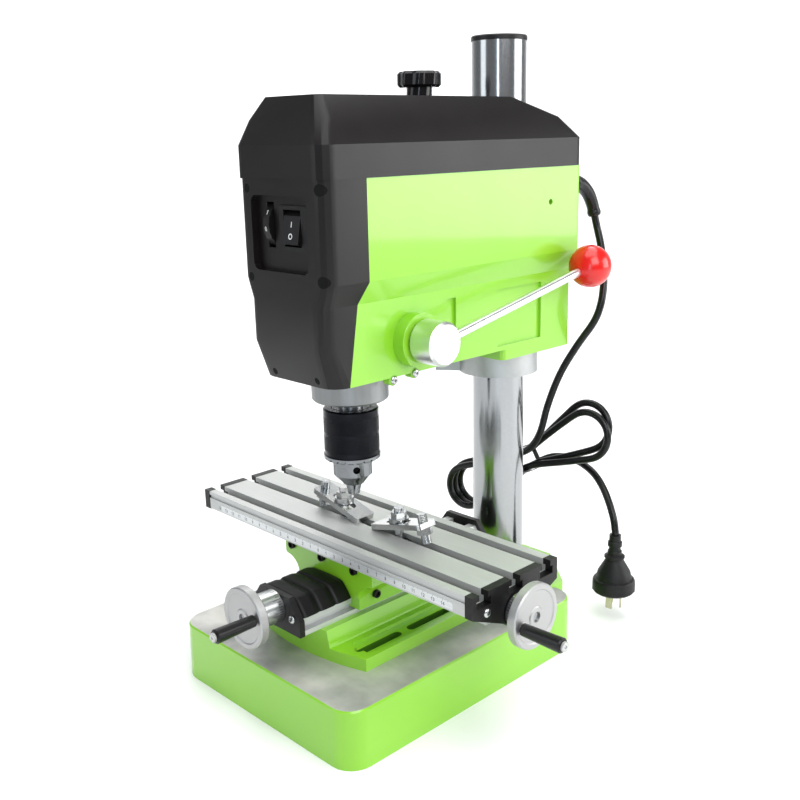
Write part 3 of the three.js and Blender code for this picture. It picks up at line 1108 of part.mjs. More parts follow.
add('x_collar', finish.aluminium, wheelCollar('x', xAt, 1, capFace + SEAT_GAP,
  xFace - wheel.thick - SEAT_GAP));
add('x_wheel', finish.aluminium, handwheel('x', xAt, 1, xFace, xPin));
add('x_handle', finish.black, wheelHandle('x', 1, xFace, xPin));

add('clamp_collar', finish.cast, clampCollar());
add('clamp_bolt', finish.black, clampBolt());
add('head_casting', finish.green, headCasting());
add('front_panel', finish.black, frontPanel());
add('switch_frame', finish.black, switchFrame());
add('rocker', finish.black, rockerPiece());
add('speed_dial', finish.black, speedDial());
add('motor', finish.steel, motorBody());
add('motor_pulley', finish.black, pulleyWheel(motor.y, pulley.driveR, motor.shaft + RUNNING_FIT,
  pulley.z, pulley.driveHub));
add('spindle_pulley', finish.black, pulleyWheel(spindleY, pulley.drivenR,
  spindle.spline / 2 + RUNNING_FIT, pulley.hubLow, pulley.hubR));
add('drive_belt', finish.rubber, driveBelt());
add('top_cover', finish.black, topCover());
add('cover_knob', finish.black, coverKnob());
add('quill_sleeve', finish.steel, quillSleeve());
add('quill_collar', finish.aluminium, quillCollar());
add('spindle_shaft', finish.steel, spindleShaft());
add('chuck_body', finish.chrome, chuckBody());
add('chuck_sleeve', finish.blued, chuckSleeve());
for (const k of [0, 1, 2]) add(`jaw_${k + 1}`, finish.steel, jawPiece(k));
add('feed_shaft', finish.steel, feedShaft());
add('feed_hub', finish.aluminium, feedHub());
add('feed_rod', finish.chrome, feedRod());
add('feed_ball', finish.red, feedBall());
add('spring_case', finish.black, springCase());
add('cord_gland', finish.rubber, cordGland());
add('cord_drop', finish.rubber, cordAlong(dropPoints, cord.sides, 38));
add('cord_coil', finish.rubber, cordAlong(coilPoints(), cord.coilSides,
  Math.round(cord.loops * cord.loopSteps)));
add('cord_tail', finish.rubber, cordAlong(tailPoints, cord.sides, 26));
add('plug', finish.rubber, cordPlug());

export default model;
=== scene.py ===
# %% [markdown]
# # Dressing a bench milling machine
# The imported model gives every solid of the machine, already in its place and on its moving
# body. This lesson adds what makes it look real: the view, the light, the finishes, the cord
# and the small fasteners. All lengths below are millimetres, turned into metres by MM.

import math

import bmesh
import bpy
import numpy as np
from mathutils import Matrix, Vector


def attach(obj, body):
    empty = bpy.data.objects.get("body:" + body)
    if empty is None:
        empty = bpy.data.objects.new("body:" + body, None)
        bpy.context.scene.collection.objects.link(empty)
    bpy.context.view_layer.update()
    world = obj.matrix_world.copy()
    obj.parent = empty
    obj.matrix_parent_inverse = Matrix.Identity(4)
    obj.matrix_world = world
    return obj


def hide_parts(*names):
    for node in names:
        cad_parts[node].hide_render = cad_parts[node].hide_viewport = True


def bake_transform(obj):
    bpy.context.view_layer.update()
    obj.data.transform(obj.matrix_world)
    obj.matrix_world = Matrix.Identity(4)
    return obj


MM = 0.001
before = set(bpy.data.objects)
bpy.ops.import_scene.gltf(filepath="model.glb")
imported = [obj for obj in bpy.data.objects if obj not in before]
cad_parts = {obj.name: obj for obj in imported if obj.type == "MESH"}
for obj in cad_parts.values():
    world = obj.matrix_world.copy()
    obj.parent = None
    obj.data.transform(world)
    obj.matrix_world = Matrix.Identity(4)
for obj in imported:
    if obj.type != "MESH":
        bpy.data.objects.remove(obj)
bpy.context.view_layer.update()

# %% [markdown]
# ## The view
# The photograph was taken from the right of the operator, a little above the table. The camera
# below is the one camera whose rays pass through the corners of the base, the table and the
# column as they stand in the photograph. Its small shift places the lens axis in the frame.

# %% Camera
RIGHT = (0.7023, 0.7116, -0.0200)
UP = (-0.1661, 0.1910, 0.9674)
BACK = (0.6923, -0.6761, 0.2523)
EYE = (598.8, -547.2, 453.0)
FRAME_PX = 800
FOCAL_PX = 1004.47
AXIS_PX = (407.93, 394.43)

lens = bpy.data.cameras.new("photo_view")
lens.sensor_width = 36
lens.lens = FOCAL_PX / FRAME_PX * lens.sensor_width
lens.shift_x = (FRAME_PX / 2 - AXIS_PX[0]) / FRAME_PX
lens.shift_y = (AXIS_PX[1] - FRAME_PX / 2) / FRAME_PX
lens.clip_start = 0.01
camera = bpy.data.objects.new("photo_view", lens)
bpy.context.scene.collection.objects.link(camera)
for column, axis in enumerate((RIGHT, UP, BACK)):
    for row in range(3):
        camera.matrix_world[row][column] = axis[row]
camera.matrix_world.translation = Vector(EYE) * MM
bpy.context.scene.camera = camera
print("lens", round(lens.lens, 2), "mm, shift", round(lens.shift_x, 4), round(lens.shift_y, 4))

# %% [markdown]
# ## Surfaces from arrays
# A new piece is a grid of points worked out at once with numpy: one direction of the grid runs
# along the piece and the other goes round it. The helpers close such a grid into a solid mesh
# with its faces pointing out, so that a turned knob, a cord and a strip are all made one way.


# %% Mesh helpers
def grid_faces(rows, columns, around=True):
    """Quads between neighbouring rows and columns; around joins the last column to the first."""
    row = np.arange(rows - 1)[:, None]
    column = np.arange(columns if around else columns - 1)[None, :]
    after = (column + 1) % columns
    quads = [row * columns + column, row * columns + after]
    quads += [(row + 1) * columns + after, (row + 1) * columns + column]
    return np.stack(quads, -1).reshape(-1, 4)


def together(parts):
    """One list of points and faces from several, each part's faces counted on."""
    counts = np.cumsum([0] + [len(points) for points, _ in parts[:-1]])
    points = np.concatenate([points for points, _ in parts])
    faces = np.concatenate([faces + first for (_, faces), first in zip(parts, counts)])
    return points, faces


def piece(name, parts, body, material, sharp=35.0):
    """A named mesh from (points in mm, quads) parts, welded, facing out, riding on a body."""
    points, faces = together(parts)
    mesh = bpy.data.meshes.new(name)
    mesh.from_pydata((points * MM).tolist(), [], faces.tolist())
    work = bmesh.new()
    work.from_mesh(mesh)
    bmesh.ops.remove_doubles(work, verts=work.verts, dist=1e-6)
    bmesh.ops.dissolve_degenerate(work, edges=work.edges, dist=1e-7)
    bmesh.ops.recalc_face_normals(work, faces=work.faces)
    work.to_mesh(mesh)
    work.free()
    mesh.materials.append(material)
    mesh.shade_smooth()
    mesh.set_sharp_from_angle(angle=math.radians(sharp))
    thing = bpy.data.objects.new(name, mesh)
    bpy.context.scene.collection.objects.link(thing)
    if body:
        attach(thing, body)
    print(name, len(mesh.polygons), "faces")
    return thing


def axes_of(direction, upward=(0, 0, 1)):
    """Side, upright and outward unit vectors of a piece that points along direction."""
    out = np.array(direction, float)
    out /= np.linalg.norm(out)
    side = np.cross(np.array(upward, float), out)
    if np.linalg.norm(side) < 1e-6:
        side = np.cross((0, 1, 0), out)
    side /= np.linalg.norm(side)
    return side, np.cross(out, side), out


OUTLINES = {
    "round": lambda angle: np.ones_like(angle),
    "hex": lambda angle: 1 / np.cos((angle + np.pi / 6) % (np.pi / 3) - np.pi / 6),
    "cross": lambda angle: np.clip(
        0.3 / np.maximum(np.minimum(abs(np.sin(angle)), abs(np.cos(angle))), 1e-6), 0.42, 1),
}


def turned(profile, at, direction, sides=32, upward=(0, 0, 1)):
    """Rings of (radius, height, outline) about an axis; a point is radius times its outline."""
    side, upright, out = axes_of(direction, upward)
    angle = np.arange(sides) * 2 * np.pi / sides
    rings = [(ring + ("round",))[:3] for ring in profile]
    radius = np.stack([r * OUTLINES[outline](angle) for r, _, outline in rings])
    height = np.array([h for _, h, _ in rings])
    points = (np.array(at, float) + radius[..., None] * np.cos(angle)[None, :, None] * side
              + radius[..., None] * np.sin(angle)[None, :, None] * upright
              + height[:, None, None] * out)
    return points.reshape(-1, 3), grid_faces(len(rings), sides)


# %% [markdown]
# ## Finishes
# A finish is one Principled surface whose colour, roughness and bump change over the piece.
# The sums are written as plain Python: Value wraps a socket, and each operator adds the node
# that does it. Finish.node makes every other node from its type, settings and inputs.


# %% Shader sums
class Value:
    """A number that a node gives out, which can be added, multiplied and compared."""

    def __init__(self, finish, socket):
        self.finish, self.socket = finish, socket

    def math(self, operation, *others):
        """One Math node on this value and the others."""
        made = self.finish.node("ShaderNodeMath", {"operation": operation})
        for slot, value in zip(made.socket.node.inputs, (self, *others)):
            self.finish.feed(slot, value)
        return made

    def __add__(self, other):
        return self.math("ADD", other)

    def __sub__(self, other):
        return self.math("SUBTRACT", other)

    def __rsub__(self, other):
        return self * -1 + other

    def __mul__(self, other):
        return self.math("MULTIPLY", other)

    def __truediv__(self, other):
        return self.math("DIVIDE", other)

    def __gt__(self, other):
        return self.math("GREATER_THAN", other)

    def __lt__(self, other):
        return self.math("LESS_THAN", other)

    __radd__ = __add__
    __rmul__ = __mul__


def colour(code):
    """Linear red, green, blue and alpha of a screen colour such as a4dc2c."""
    screen = np.array([int(code[i:i + 2], 16) for i in (0, 2, 4)]) / 255
    linear = np.where(screen > 0.04045, ((screen + 0.055) / 1.055) ** 2.4, screen / 12.92)
    return (*linear.tolist(), 1.0)


class Finish:
    """A material in the making, with the piece's own place as x, y and z in millimetres."""

    def __init__(self, name, **constants):
        self.material = bpy.data.materials.new(name)
        self.material.use_nodes = True
        self.nodes = self.material.node_tree.nodes
        self.surface = self.nodes["Principled BSDF"]
        self.set(**constants)
        self.place = self.node("ShaderNodeTexCoord", {}, "Object")
        split = self.node("ShaderNodeSeparateXYZ", {}, "X", Vector=self.place).socket.node
        self.x, self.y, self.z = [Value(self, axis) * (1 / MM) for axis in split.outputs]

    def feed(self, slot, value):
        """Links a Value, or sets a plain number or colour."""
        if isinstance(value, Value):
            self.material.node_tree.links.new(value.socket, slot)
        else:
            slot.default_value = value

    def set(self, **inputs):
        """Sets sockets of the surface; an underscore stands for the space in a name."""
        for name, value in inputs.items():
            self.feed(self.surface.inputs[name.replace("_", " ")], value)

    def node(self, kind, settings, out=0, **inputs):
        """Any node: its type, its settings, the output wanted and the values of its inputs."""
        made = self.nodes.new(kind)
        for name, value in settings.items():
            setattr(made, name, value)
        for name, value in inputs.items():
            self.feed(made.inputs[name], value)
        return Value(self, made.outputs[out])

    def stretched(self, x, y, z):
        """The place with each direction scaled, for grain that runs one way."""
        return self.node("ShaderNodeMapping", {}, 0, Vector=self.place, Scale=(x, y, z))

    def noise(self, scale, detail=3.0, place=None):
        """Cloudy values from 0 to 1."""
        return self.node("ShaderNodeTexNoise", {}, 0, Vector=place or self.place, Scale=scale,
                         Detail=detail)

    def mix(self, first, second, factor):
        """A colour between two."""
        made = self.node("ShaderNodeMix", {"data_type": "RGBA"}, 2)
        for slot, value in zip((0, 6, 7), (factor, first, second)):
            self.feed(made.socket.node.inputs[slot], value)
        return made

    def cover(self, shade, mask, **inputs):
        """Lays a colour over the one so far, where the mask is 1, and sets other inputs."""
        so_far = Value(self, self.surface.inputs["Base Color"].links[0].from_socket)
        self.set(Base_Color=self.mix(so_far, shade, mask), **inputs)

    def within(self, radius, **centre):
        """1 where the squared distances from the centre sum to less than the radius squared."""
        away = [getattr(self, axis) - middle for axis, middle in centre.items()]
        return away[0] * away[0] + away[1] * away[1] < radius ** 2

    def bump(self, height, depth, strength=1.0):
        """Lets the height, from 0 to 1, rise by depth millimetres."""
        self.set(Normal=self.node("ShaderNodeBump", {}, 0, Height=height, Distance=depth * MM,
                                  Strength=strength))


# %% [markdown]
# ### Enamel and bare castings
# The castings are sprayed lime enamel, glossy with a slight ripple. The deck of the base was
# milled bare after painting, so the same casting is enamel on its sides and clouded grey metal
# on top. Painted shade darkens the mounting slots of the slide base and the deck below them.

# %% Enamel and bare cast metal
LIME = colour("8ac62c")
LIME_DEEP = colour("79b922")


def enamel(name):
    """Lime paint: two close greens in slow clouds, gloss that wavers, an orange peel ripple."""
    paint = Finish(name, Coat_Roughness=0.06, IOR=1.5)
    clouds = paint.noise(9.0)
    paint.set(Base_Color=paint.mix(LIME, LIME_DEEP, clouds), Roughness=clouds * 0.12 + 0.24,
              Coat_Weight=0.5)
    paint.bump(paint.noise(420.0, 1.0), 0.02)
    return paint


def under_slots(paint):
    """Where the mounting slots are: 52 to 60 mm off the middle line, inside the slide base."""
    off = paint.x * paint.x
    return (off > 51.9 ** 2) * (off < 60.1 ** 2) * (paint.y > -82) * (paint.y < 76)


DECK = 48.3
SLOT_TOP = 55.8
green = enamel("lime_enamel")
slide_paint = enamel("slide_base_enamel")
# Painted shade: the slots' walls and floor turn deep green and lose their gloss.
painted_slot_shade = under_slots(slide_paint) * (slide_paint.z < SLOT_TOP)
slide_paint.cover(colour("3c6c18"), painted_slot_shade, Coat_Weight=0.5 - painted_slot_shade * 0.5)

base_paint = enamel("enamel_with_milled_deck")
deck = (base_paint.z > DECK - 0.05) * (base_paint.z < DECK + 0.05)
clouds = base_paint.noise(16.0, 5.0)
strokes = base_paint.noise(7.0, 4.0, base_paint.stretched(2, 24, 1))
patches = ((clouds - 0.36) * 3.2).math("MAXIMUM", 0.0).math("MINIMUM", 1.0)
bare = base_paint.mix(colour("8a8c8a"), colour("dedcd6"), patches * 0.85 + strokes * 0.15)
# Painted shade: the bare deck below the slots is darkened.
bare = base_paint.mix(bare, colour("434a39"), under_slots(base_paint))
base_paint.cover(bare, deck, Metallic=deck * 0.7, Coat_Weight=0.5 - deck * 0.5,
                 Roughness=0.28 + deck * (clouds * 0.2 + 0.16))

cast = Finish("bare_casting", Metallic=0.9)
grain = cast.noise(260.0, 4.0)
cast.set(Base_Color=cast.mix(colour("9c9e9e"), colour("c4c6c6"), cast.noise(30.0)),
         Roughness=grain * 0.25 + 0.35)
cast.bump(grain, 0.08)
print("enamel and cast finishes made")

# %% [markdown]
# ### Plastics and rubber
# Cover, panel, caps and handles are moulded in black with a fine grain, and the cord is a
# smoother rubber. The wells of the panel's screws carry painted shade, near black, and are duller
# than the panel, and the plug turns to metal below its face, where its pins are.

# %% Plastics and rubber


def moulded(name, code, rough, grain_mm=0.025, grain_scale=900.0):
    """Black moulding: nearly one colour, a spark-eroded grain, roughness in slow patches."""
    plastic = Finish(name, IOR=1.37)
    plastic.set(Base_Color=plastic.mix(colour(code), colour("1c1a1b"), plastic.noise(14.0) * 0.2),
                Roughness=plastic.noise(22.0) * 0.12 + rough)
    plastic.bump(plastic.noise(grain_scale, 2.0), grain_mm)
    return plastic


black = moulded("black_moulding", "0b0a0a", 0.36)
cover_black = moulded("cover_moulding", "0f0b0b", 0.3, 0.018)
panel_black = moulded("panel_moulding", "0f0b0b", 0.3, 0.018)
SCREW_WELLS = [(-38, 414.8, 3.4), (-38.3, 347.9, 3.4), (45.4, 415, 4.3), (45.4, 350, 4.3),
               (-24.5, 273.5, 2.8), (27, 273.5, 2.8)]
PANEL_FRONT = -78
# Painted shade: the screw wells in the front panel are near black.
painted_well_shade = sum(panel_black.within(r, x=x, z=z) for x, z, r in SCREW_WELLS)
painted_well_shade = (painted_well_shade * (panel_black.y < PANEL_FRONT)).math("MINIMUM", 1.0)
panel_black.cover(colour("020202"), painted_well_shade, Roughness=painted_well_shade * 0.6 + 0.36)
handle_black = moulded("handle_plastic", "101011", 0.26, 0.01)
knob_black = moulded("polished_knob", "060607", 0.12, 0.004)
rubber = moulded("cord_rubber", "0a0a0b", 0.22, 0.01)
soft_rubber = moulded("pleated_rubber", "050505", 0.4, 0.03)
soft_rubber.set(IOR=1.3)
plug_rubber = moulded("plug_rubber", "0c0c0d", 0.5, 0.03)
PLUG_FACE = 24.9
pins = plug_rubber.z < PLUG_FACE
plug_rubber.cover(colour("b8b49a"), pins, Metallic=pins, Roughness=0.5 - pins * 0.25)
marks = Finish("white_marks", Roughness=0.5)
marks.set(Base_Color=marks.mix(colour("f2f2f0"), colour("dededc"), marks.noise(60.0)))
ink = Finish("scale_ink", Roughness=0.5)
ink.set(Base_Color=ink.mix(colour("1e2024"), colour("3a3c40"), ink.noise(80.0)))
ball = Finish("red_ball", Coat_Roughness=0.05, IOR=1.45, Roughness=0.26)
ball.set(Base_Color=ball.mix(colour("d8140c"), colour("c00c08"), ball.noise(24.0)),
         Coat_Weight=0.3)
print("plastic and rubber finishes made")

# %% [markdown]
# ### Metals
# Extruded aluminium has lines along its length, turned aluminium has rings round its axis, the
# ground column has fine rings and bright zinc is a little yellow and blue in patches. Each is
# one metal whose grain comes from the place scaled one way or from the distance to an axis.

# %% Metals


def metal(name, dark, light, rough, spread, place_scale=(1, 1, 1), scale=60.0, depth=0.01):
    """A metal whose grain is noise stretched along one direction."""
    made = Finish(name, Metallic=1.0)
    lines = made.noise(scale, 4.0, made.stretched(*place_scale))
    made.set(Base_Color=made.mix(colour(dark), colour(light), lines),
             Roughness=lines * spread + rough)
    made.bump(lines, depth)
    return made


def turned_metal(name, centre, axis, dark, light, rough, depth=0.02, pitch=0.35):
    """Rings round an axis: a wave of the distance from it, roughened by a little noise."""
    made = Finish(name, Metallic=1.0)
    across = [(value - c) for value, c, a in zip((made.x, made.y, made.z), centre, "xyz")
              if a != axis]
    distance = (across[0] * across[0] + across[1] * across[1]).math("SQRT")
    rings = (distance * (2 * math.pi / pitch) + made.noise(40.0) * 3.0).math("SINE") * 0.5 + 0.5
    blur = made.noise(25.0)
    made.set(Base_Color=made.mix(colour(dark), colour(light), blur),
             Roughness=rings * 0.08 + blur * 0.08 + rough)
    made.bump(rings, depth)
    return made


X_AXIS = (0, -20.45, 112)
Y_AXIS = (0, 0, 91.8)
SPINDLE = (0, -28, 0)
table_top = metal("anodised_table", "b6b7b6", "c6c7c5", 0.46, 0.1, (0.05, 1, 1), 700.0)
table_top.set(Metallic=0.62)
rail_metal = metal("extruded_rail", "bcbdbd", "d6d7d7", 0.36, 0.14, (1, 0.02, 1), 900.0)
rail_metal.set(Metallic=0.6)
column_steel = metal("ground_column", "8c8e90", "b4b6b7", 0.12, 0.1, (1, 1, 6), 500.0, 0.0008)
steel = metal("bright_steel", "808284", "aaacae", 0.2, 0.14, (1, 1, 1), 240.0)
zinc = metal("zinc_plate", "a6aab0", "d0cfc9", 0.14, 0.12, (1, 1, 1), 60.0, 0.004)
rod_steel = metal("lever_rod_steel", "d6d8d9", "eceded", 0.26, 0.08, (1, 1, 1), 160.0, 0.002)
chrome = metal("chuck_chrome", "666a6c", "8c8e90", 0.08, 0.06, (1, 1, 12), 240.0, 0.002)
# Painted shade: the hole for the chuck key is a near-black patch on the chrome.
painted_key_hole_shade = chrome.within(15.4, x=0, y=SPINDLE[1]) * (chrome.z > 184) * (chrome.z < 191)
chrome.cover(colour("0c0c0d"), painted_key_hole_shade)
threaded = metal("threaded_zinc", "989ca2", "c4c4c0", 0.18, 0.12, (1, 1, 1), 60.0, 0.004)
SHANKS, SHANK_Y, SHANK_R, PITCH = (-20.8, 46.5, -47.2, 75.7), -21, 3.6, 1.25
shank = sum(threaded.within(SHANK_R, x=x, y=SHANK_Y) for x in SHANKS).math("MINIMUM", 1.0)
threaded.bump((threaded.z * (2 * math.pi / PITCH)).math("SINE") * shank * 0.5 + 0.5, 0.5)
brass = metal("brass_nut", "96703a", "c09a58", 0.28, 0.16, (1, 1, 1), 120.0)
strip = metal("scale_strip", "c2c4c5", "e2e4e4", 0.3, 0.1, (0.02, 1, 1), 900.0, 0.003)
TICK_WIDE, STRIP_FACE = 0.28, -68
ticks = 0
for every, low in ((1, 127.4), (5, 126.8), (10, 126.2)):
    line = ((strip.x + 1000 + TICK_WIDE / 2) / every).math("FRACT") < TICK_WIDE / every
    ticks = (line * (strip.z > low) + ticks).math("MINIMUM", 1.0)
ticks = ticks * (strip.y < STRIP_FACE)
strip.cover(colour("15171c"), ticks, Metallic=(1 - ticks) * 0.55)
wheel_x = turned_metal("turned_wheel_x", X_AXIS, "x", "a8a8a7", "bababa", 0.42, 0.01)
wheel_y = turned_metal("turned_wheel_y", Y_AXIS, "y", "a8a8a7", "bababa", 0.42, 0.01)
hub_metal = turned_metal("turned_hub", (0, 0, 295.4), "x", "d2d4d4", "ebecec", 0.24)


def graduated(name, centre, axis, band, divisions=40):
    """A turned collar with dark lines along its axis, every fifth one longer.

    The angle round the axis times the divisions runs from 0 to 1 once for each line, and a line
    is drawn while that is under 0.18.
    """
    made = turned_metal(name, centre, axis, "b4b6b6", "d4d6d6", 0.24)
    up = made.z - centre[2]
    side = (made.y - centre[1]) if axis == "x" else (made.x - centre[0])
    along = made.x if axis == "x" else made.y * -1
    place = up.math("ARCTAN2", side) * (divisions / (2 * math.pi)) + divisions
    fine = (place + 0.09).math("FRACT") < 0.18
    long_line = (place / 5 + 0.018).math("FRACT") < 0.036
    first, last = band
    lines = (along > first) * (fine * (along < (first + last) / 2) + long_line * (along < last))
    lines = lines.math("MINIMUM", 1.0)
    made.cover(colour("101012"), lines, Metallic=1 - lines)
    return made


collar_x = graduated("graduated_collar_x", X_AXIS, "x", (170.4, 177.4))
collar_y = graduated("graduated_collar_y", Y_AXIS, "y", (116.4, 124))
collar_metal = turned_metal("turned_quill_collar", SPINDLE, "z", "7a7c7c", "989a9a", 0.34)
print("metals made:", len(bpy.data.materials))

# %% [markdown]
# ### Knurling
# The chuck sleeve is gripped by hand, so bands of fine diamonds are rolled into it. The
# diamonds are two families of slanting waves: the angle round the axis plus and minus the
# height. They show only inside the bands.

# %% Knurled chuck sleeve
RING_TOP, BANDS_FROM, BANDS_TO, GROOVE = 198.4, 203, 231, (215.5, 218.5)
knurl = Finish("knurled_sleeve", Metallic=1.0)
turn = (knurl.y - SPINDLE[1]).math("ARCTAN2", knurl.x) * 60.0
slant = knurl.z * 5.2
diamonds = (turn + slant).math("SINE") * (turn - slant).math("SINE")
groove = (knurl.z > GROOVE[0]) * (knurl.z < GROOVE[1])
bands = (knurl.z > BANDS_FROM) * (knurl.z < BANDS_TO) * (1 - groove)
bright = knurl.z < RING_TOP
black_oxide = knurl.mix(colour("0e0e10"), colour("26272b"), knurl.noise(40.0))
knurl.set(Base_Color=knurl.mix(black_oxide, colour("808284"), bright),
          Roughness=bands * 0.16 + knurl.noise(60.0) * 0.1 + 0.2)
knurl.bump(diamonds * bands * 0.5 + 0.5, 0.16)
print("knurl made")

# %% [markdown]
# ### Which piece wears which finish
# Each imported solid in the table below gets one finish here, also the rocker that a new piece
# replaces further down.

# %% Finishes of the imported solids
WEARS = {
    green: ("saddle_casting", "head_casting"),
    slide_paint: ("slide_base",),
    base_paint: ("base_casting",),
    cast: ("clamp_collar",),
    black: ("column_cap", "y_rail_front_cap", "y_rail_rear_cap", "x_left_cap", "x_right_cap",
            "switch_frame", "rocker", "speed_dial", "motor_pulley", "spindle_pulley",
            "spring_case", "clamp_bolt"),
    panel_black: ("front_panel",),
    cover_black: ("top_cover",),
    knob_black: ("cover_knob",),
    handle_black: ("x_handle", "y_handle"),
    plug_rubber: ("plug",),
    column_steel: ("column_tube",),
    rail_metal: ("y_rail",),
    table_top: ("x_table",),
    strip: ("table_scale",),
    steel: ("y_leadscrew", "x_leadscrew", "motor", "quill_sleeve", "spindle_shaft",
            "feed_shaft", "jaw_1", "jaw_2", "jaw_3"),
    zinc: ("clamp_left_strap", "clamp_right_strap"),
    threaded: ("clamp_left_bolt", "clamp_left_stud", "clamp_right_bolt", "clamp_right_stud"),
    brass: ("y_nut", "x_nut"),
    wheel_x: ("x_wheel",),
    wheel_y: ("y_wheel",),
    collar_x: ("x_collar",),
    collar_y: ("y_collar",),
    hub_metal: ("feed_hub",),
    collar_metal: ("quill_collar",),
    chrome: ("chuck_body",),
    rod_steel: ("feed_rod",),
    knurl: ("chuck_sleeve",),
    ball: ("feed_ball",),
}
for finish, names in WEARS.items():
    for name in names:
        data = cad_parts[name].data
        data.materials.clear()
        data.materials.append(finish.material)
print("dressed", sum(len(names) for names in WEARS.values()), "solids")

# %% [markdown]
# ### Smooth faces, sharp edges
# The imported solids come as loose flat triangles. A modifier joins their corners, shades the
# faces smooth and keeps every edge sharp where the surface turns by more than 35 degrees, or
# 19 on the faceted head, and weighted normals keep the large flats flat. The shapes themselves
# stay as they are.

# %% Smooth shading
def smoothed_by(degrees):
    """A node group that welds, smooths the faces and keeps edges sharper than an angle."""
    group = bpy.data.node_groups.new(f"smooth_by_{degrees}", "GeometryNodeTree")
    for direction in ("INPUT", "OUTPUT"):
        group.interface.new_socket("Geometry", in_out=direction, socket_type="NodeSocketGeometry")
    steps = [group.nodes.new(kind) for kind in (
        "NodeGroupInput", "GeometryNodeMergeByDistance", "GeometryNodeSetShadeSmooth",
        "GeometryNodeSetShadeSmooth", "NodeGroupOutput")]
    steps[1].inputs["Distance"].default_value = 1e-5
    steps[2].domain, steps[3].domain = "FACE", "EDGE"
    for before, after in zip(steps[:-1], steps[1:]):
        group.links.new(before.outputs[0], after.inputs[0])
    bend = group.nodes.new("GeometryNodeInputMeshEdgeAngle")
    gentle = group.nodes.new("FunctionNodeCompare")
    gentle.operation = "LESS_THAN"
    gentle.inputs["B"].default_value = math.radians(degrees)
    group.links.new(bend.outputs[0], gentle.inputs["A"])
    group.links.new(gentle.outputs[0], steps[3].inputs["Shade Smooth"])
    return group


soft_edges, crisp_edges = smoothed_by(35), smoothed_by(19)
CRISP = ("head_casting", "front_panel", "top_cover")
for names in WEARS.values():
    for name in names:
        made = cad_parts[name].modifiers.new("smooth_by_angle", "NODES")
        made.node_group = crisp_edges if name in CRISP else soft_edges
        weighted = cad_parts[name].modifiers.new("weighted", "WEIGHTED_NORMAL")
        weighted.keep_sharp, weighted.weight = True, 80
print("smoothed", sum(len(names) for names in WEARS.values()), "solids")

# %% [markdown]
# ## The mains cord
# The photograph shows this cord from its strain relief to its plug, so the length drawn is its
# real length. It is a 7 mm lead that leaves the back of the head, drops, is tied up in a hank
# of two and a half loops, and hangs from there to its plug. The route repeats the points that
# the solids were made from, joined by the same centripetal curve, and a moving average over 17
# of its 900 points rounds off where the drop, the hank and the tail meet.

# %% Route of the cord
RELIEF = [[40, 211, 406], [40, 223, 404.5], [41, 235, 396], [42, 242, 384], [43, 244.5, 374]]
DROP = [[43.1, 244.7, 373.2], [43.9, 246.6, 365.5], [53, 243, 343], [66, 229, 312],
        [66, 220, 285], [50, 214, 258], [33, 210, 228], [20, 206.5, 192], [12.6, 206, 165],
        [2.2, 206, 148.4], [-9.3, 206, 139.8], [-15.6, 206, 136.78]]
TAIL = [[-7.7, 226.05, 123.67], [-1.2, 226.8, 128.5], [12, 229.4, 135], [32, 231.6, 136.5],
        [60, 227.6, 130], [80, 218.8, 119], [93, 211.6, 106], [99.5, 208.6, 95],
        [101.6, 207.7, 88], [102, 207.5, 82.3]]
CORD_R = 3.5
HANK = {"centre": (-12, 206, 130), "lean": (0.853, 0.522), "along": (97.18, 2.09, 1.48, 2.27),
        "across": (20.18, 12.87, 1.64, 1.31), "tilt": 0.1, "lay": 8, "loops": 2.5, "fan": -3}


def smooth(points, steps):
    """Centripetal Catmull-Rom: a cubic between neighbours, slopes set by root distances."""
    p = np.array(points, float)
    p = np.vstack([2 * p[0] - p[1], p, 2 * p[-1] - p[-2]])
    gap = np.sqrt(np.linalg.norm(np.diff(p, axis=0), axis=1))[:, None]
    a, b, c = gap[:-2], gap[1:-1], gap[2:]
    p0, p1, p2, p3 = p[:-3], p[1:-2], p[2:-1], p[3:]
    start = ((p1 - p0) / a - (p2 - p0) / (a + b) + (p2 - p1) / b) * b
    end = ((p2 - p1) / b - (p3 - p1) / (b + c) + (p3 - p2) / c) * b
    t = np.linspace(0, 1, steps, endpoint=False)[None, :, None]
    p1, p2, start, end = (v[:, None, :] for v in (p1, p2, start, end))
    curve = (p1 + start * t + (3 * (p2 - p1) - 2 * start - end) * t ** 2
             + (2 * (p1 - p2) + start + end) * t ** 3)
    return np.vstack([curve.reshape(-1, 3), p[-2]])


def hank(steps):
    """A long loop with a narrow waist, a sum of odd waves, whose turns fan out to one side."""
    share = np.arange(round(HANK["loops"] * steps) + 1) / steps
    t = np.pi / 2 + share * 2 * np.pi
    u = sum(w * np.cos((2 * k + 1) * t) for k, w in enumerate(HANK["along"]))
    v = sum(w * np.sin((2 * k + 1) * t) for k, w in enumerate(HANK["across"]))
    fan = math.radians(HANK["fan"]) * np.cos(np.pi * (share - 0.75))
    u, v = u * np.cos(fan) - v * np.sin(fan), u * np.sin(fan) + v * np.cos(fan)
    lean, centre = HANK["lean"], HANK["centre"]
    return np.stack([centre[0] + lean[0] * u - lean[1] * v,
                     centre[1] + HANK["tilt"] * u + HANK["lay"] * share,
                     centre[2] + lean[1] * u + lean[0] * v], 1)


def resampled(points, count):
    """Points at even distances along a line of many points."""
    far = np.r_[0, np.cumsum(np.linalg.norm(np.diff(points, axis=0), axis=1))]
    even = np.linspace(0, far[-1], count)
    return np.stack([np.interp(even, far, points[:, k]) for k in range(3)], 1)


def length_of(points):
    """The sum of the steps between neighbouring points."""
    return float(np.linalg.norm(np.diff(points, axis=0), axis=1).sum())


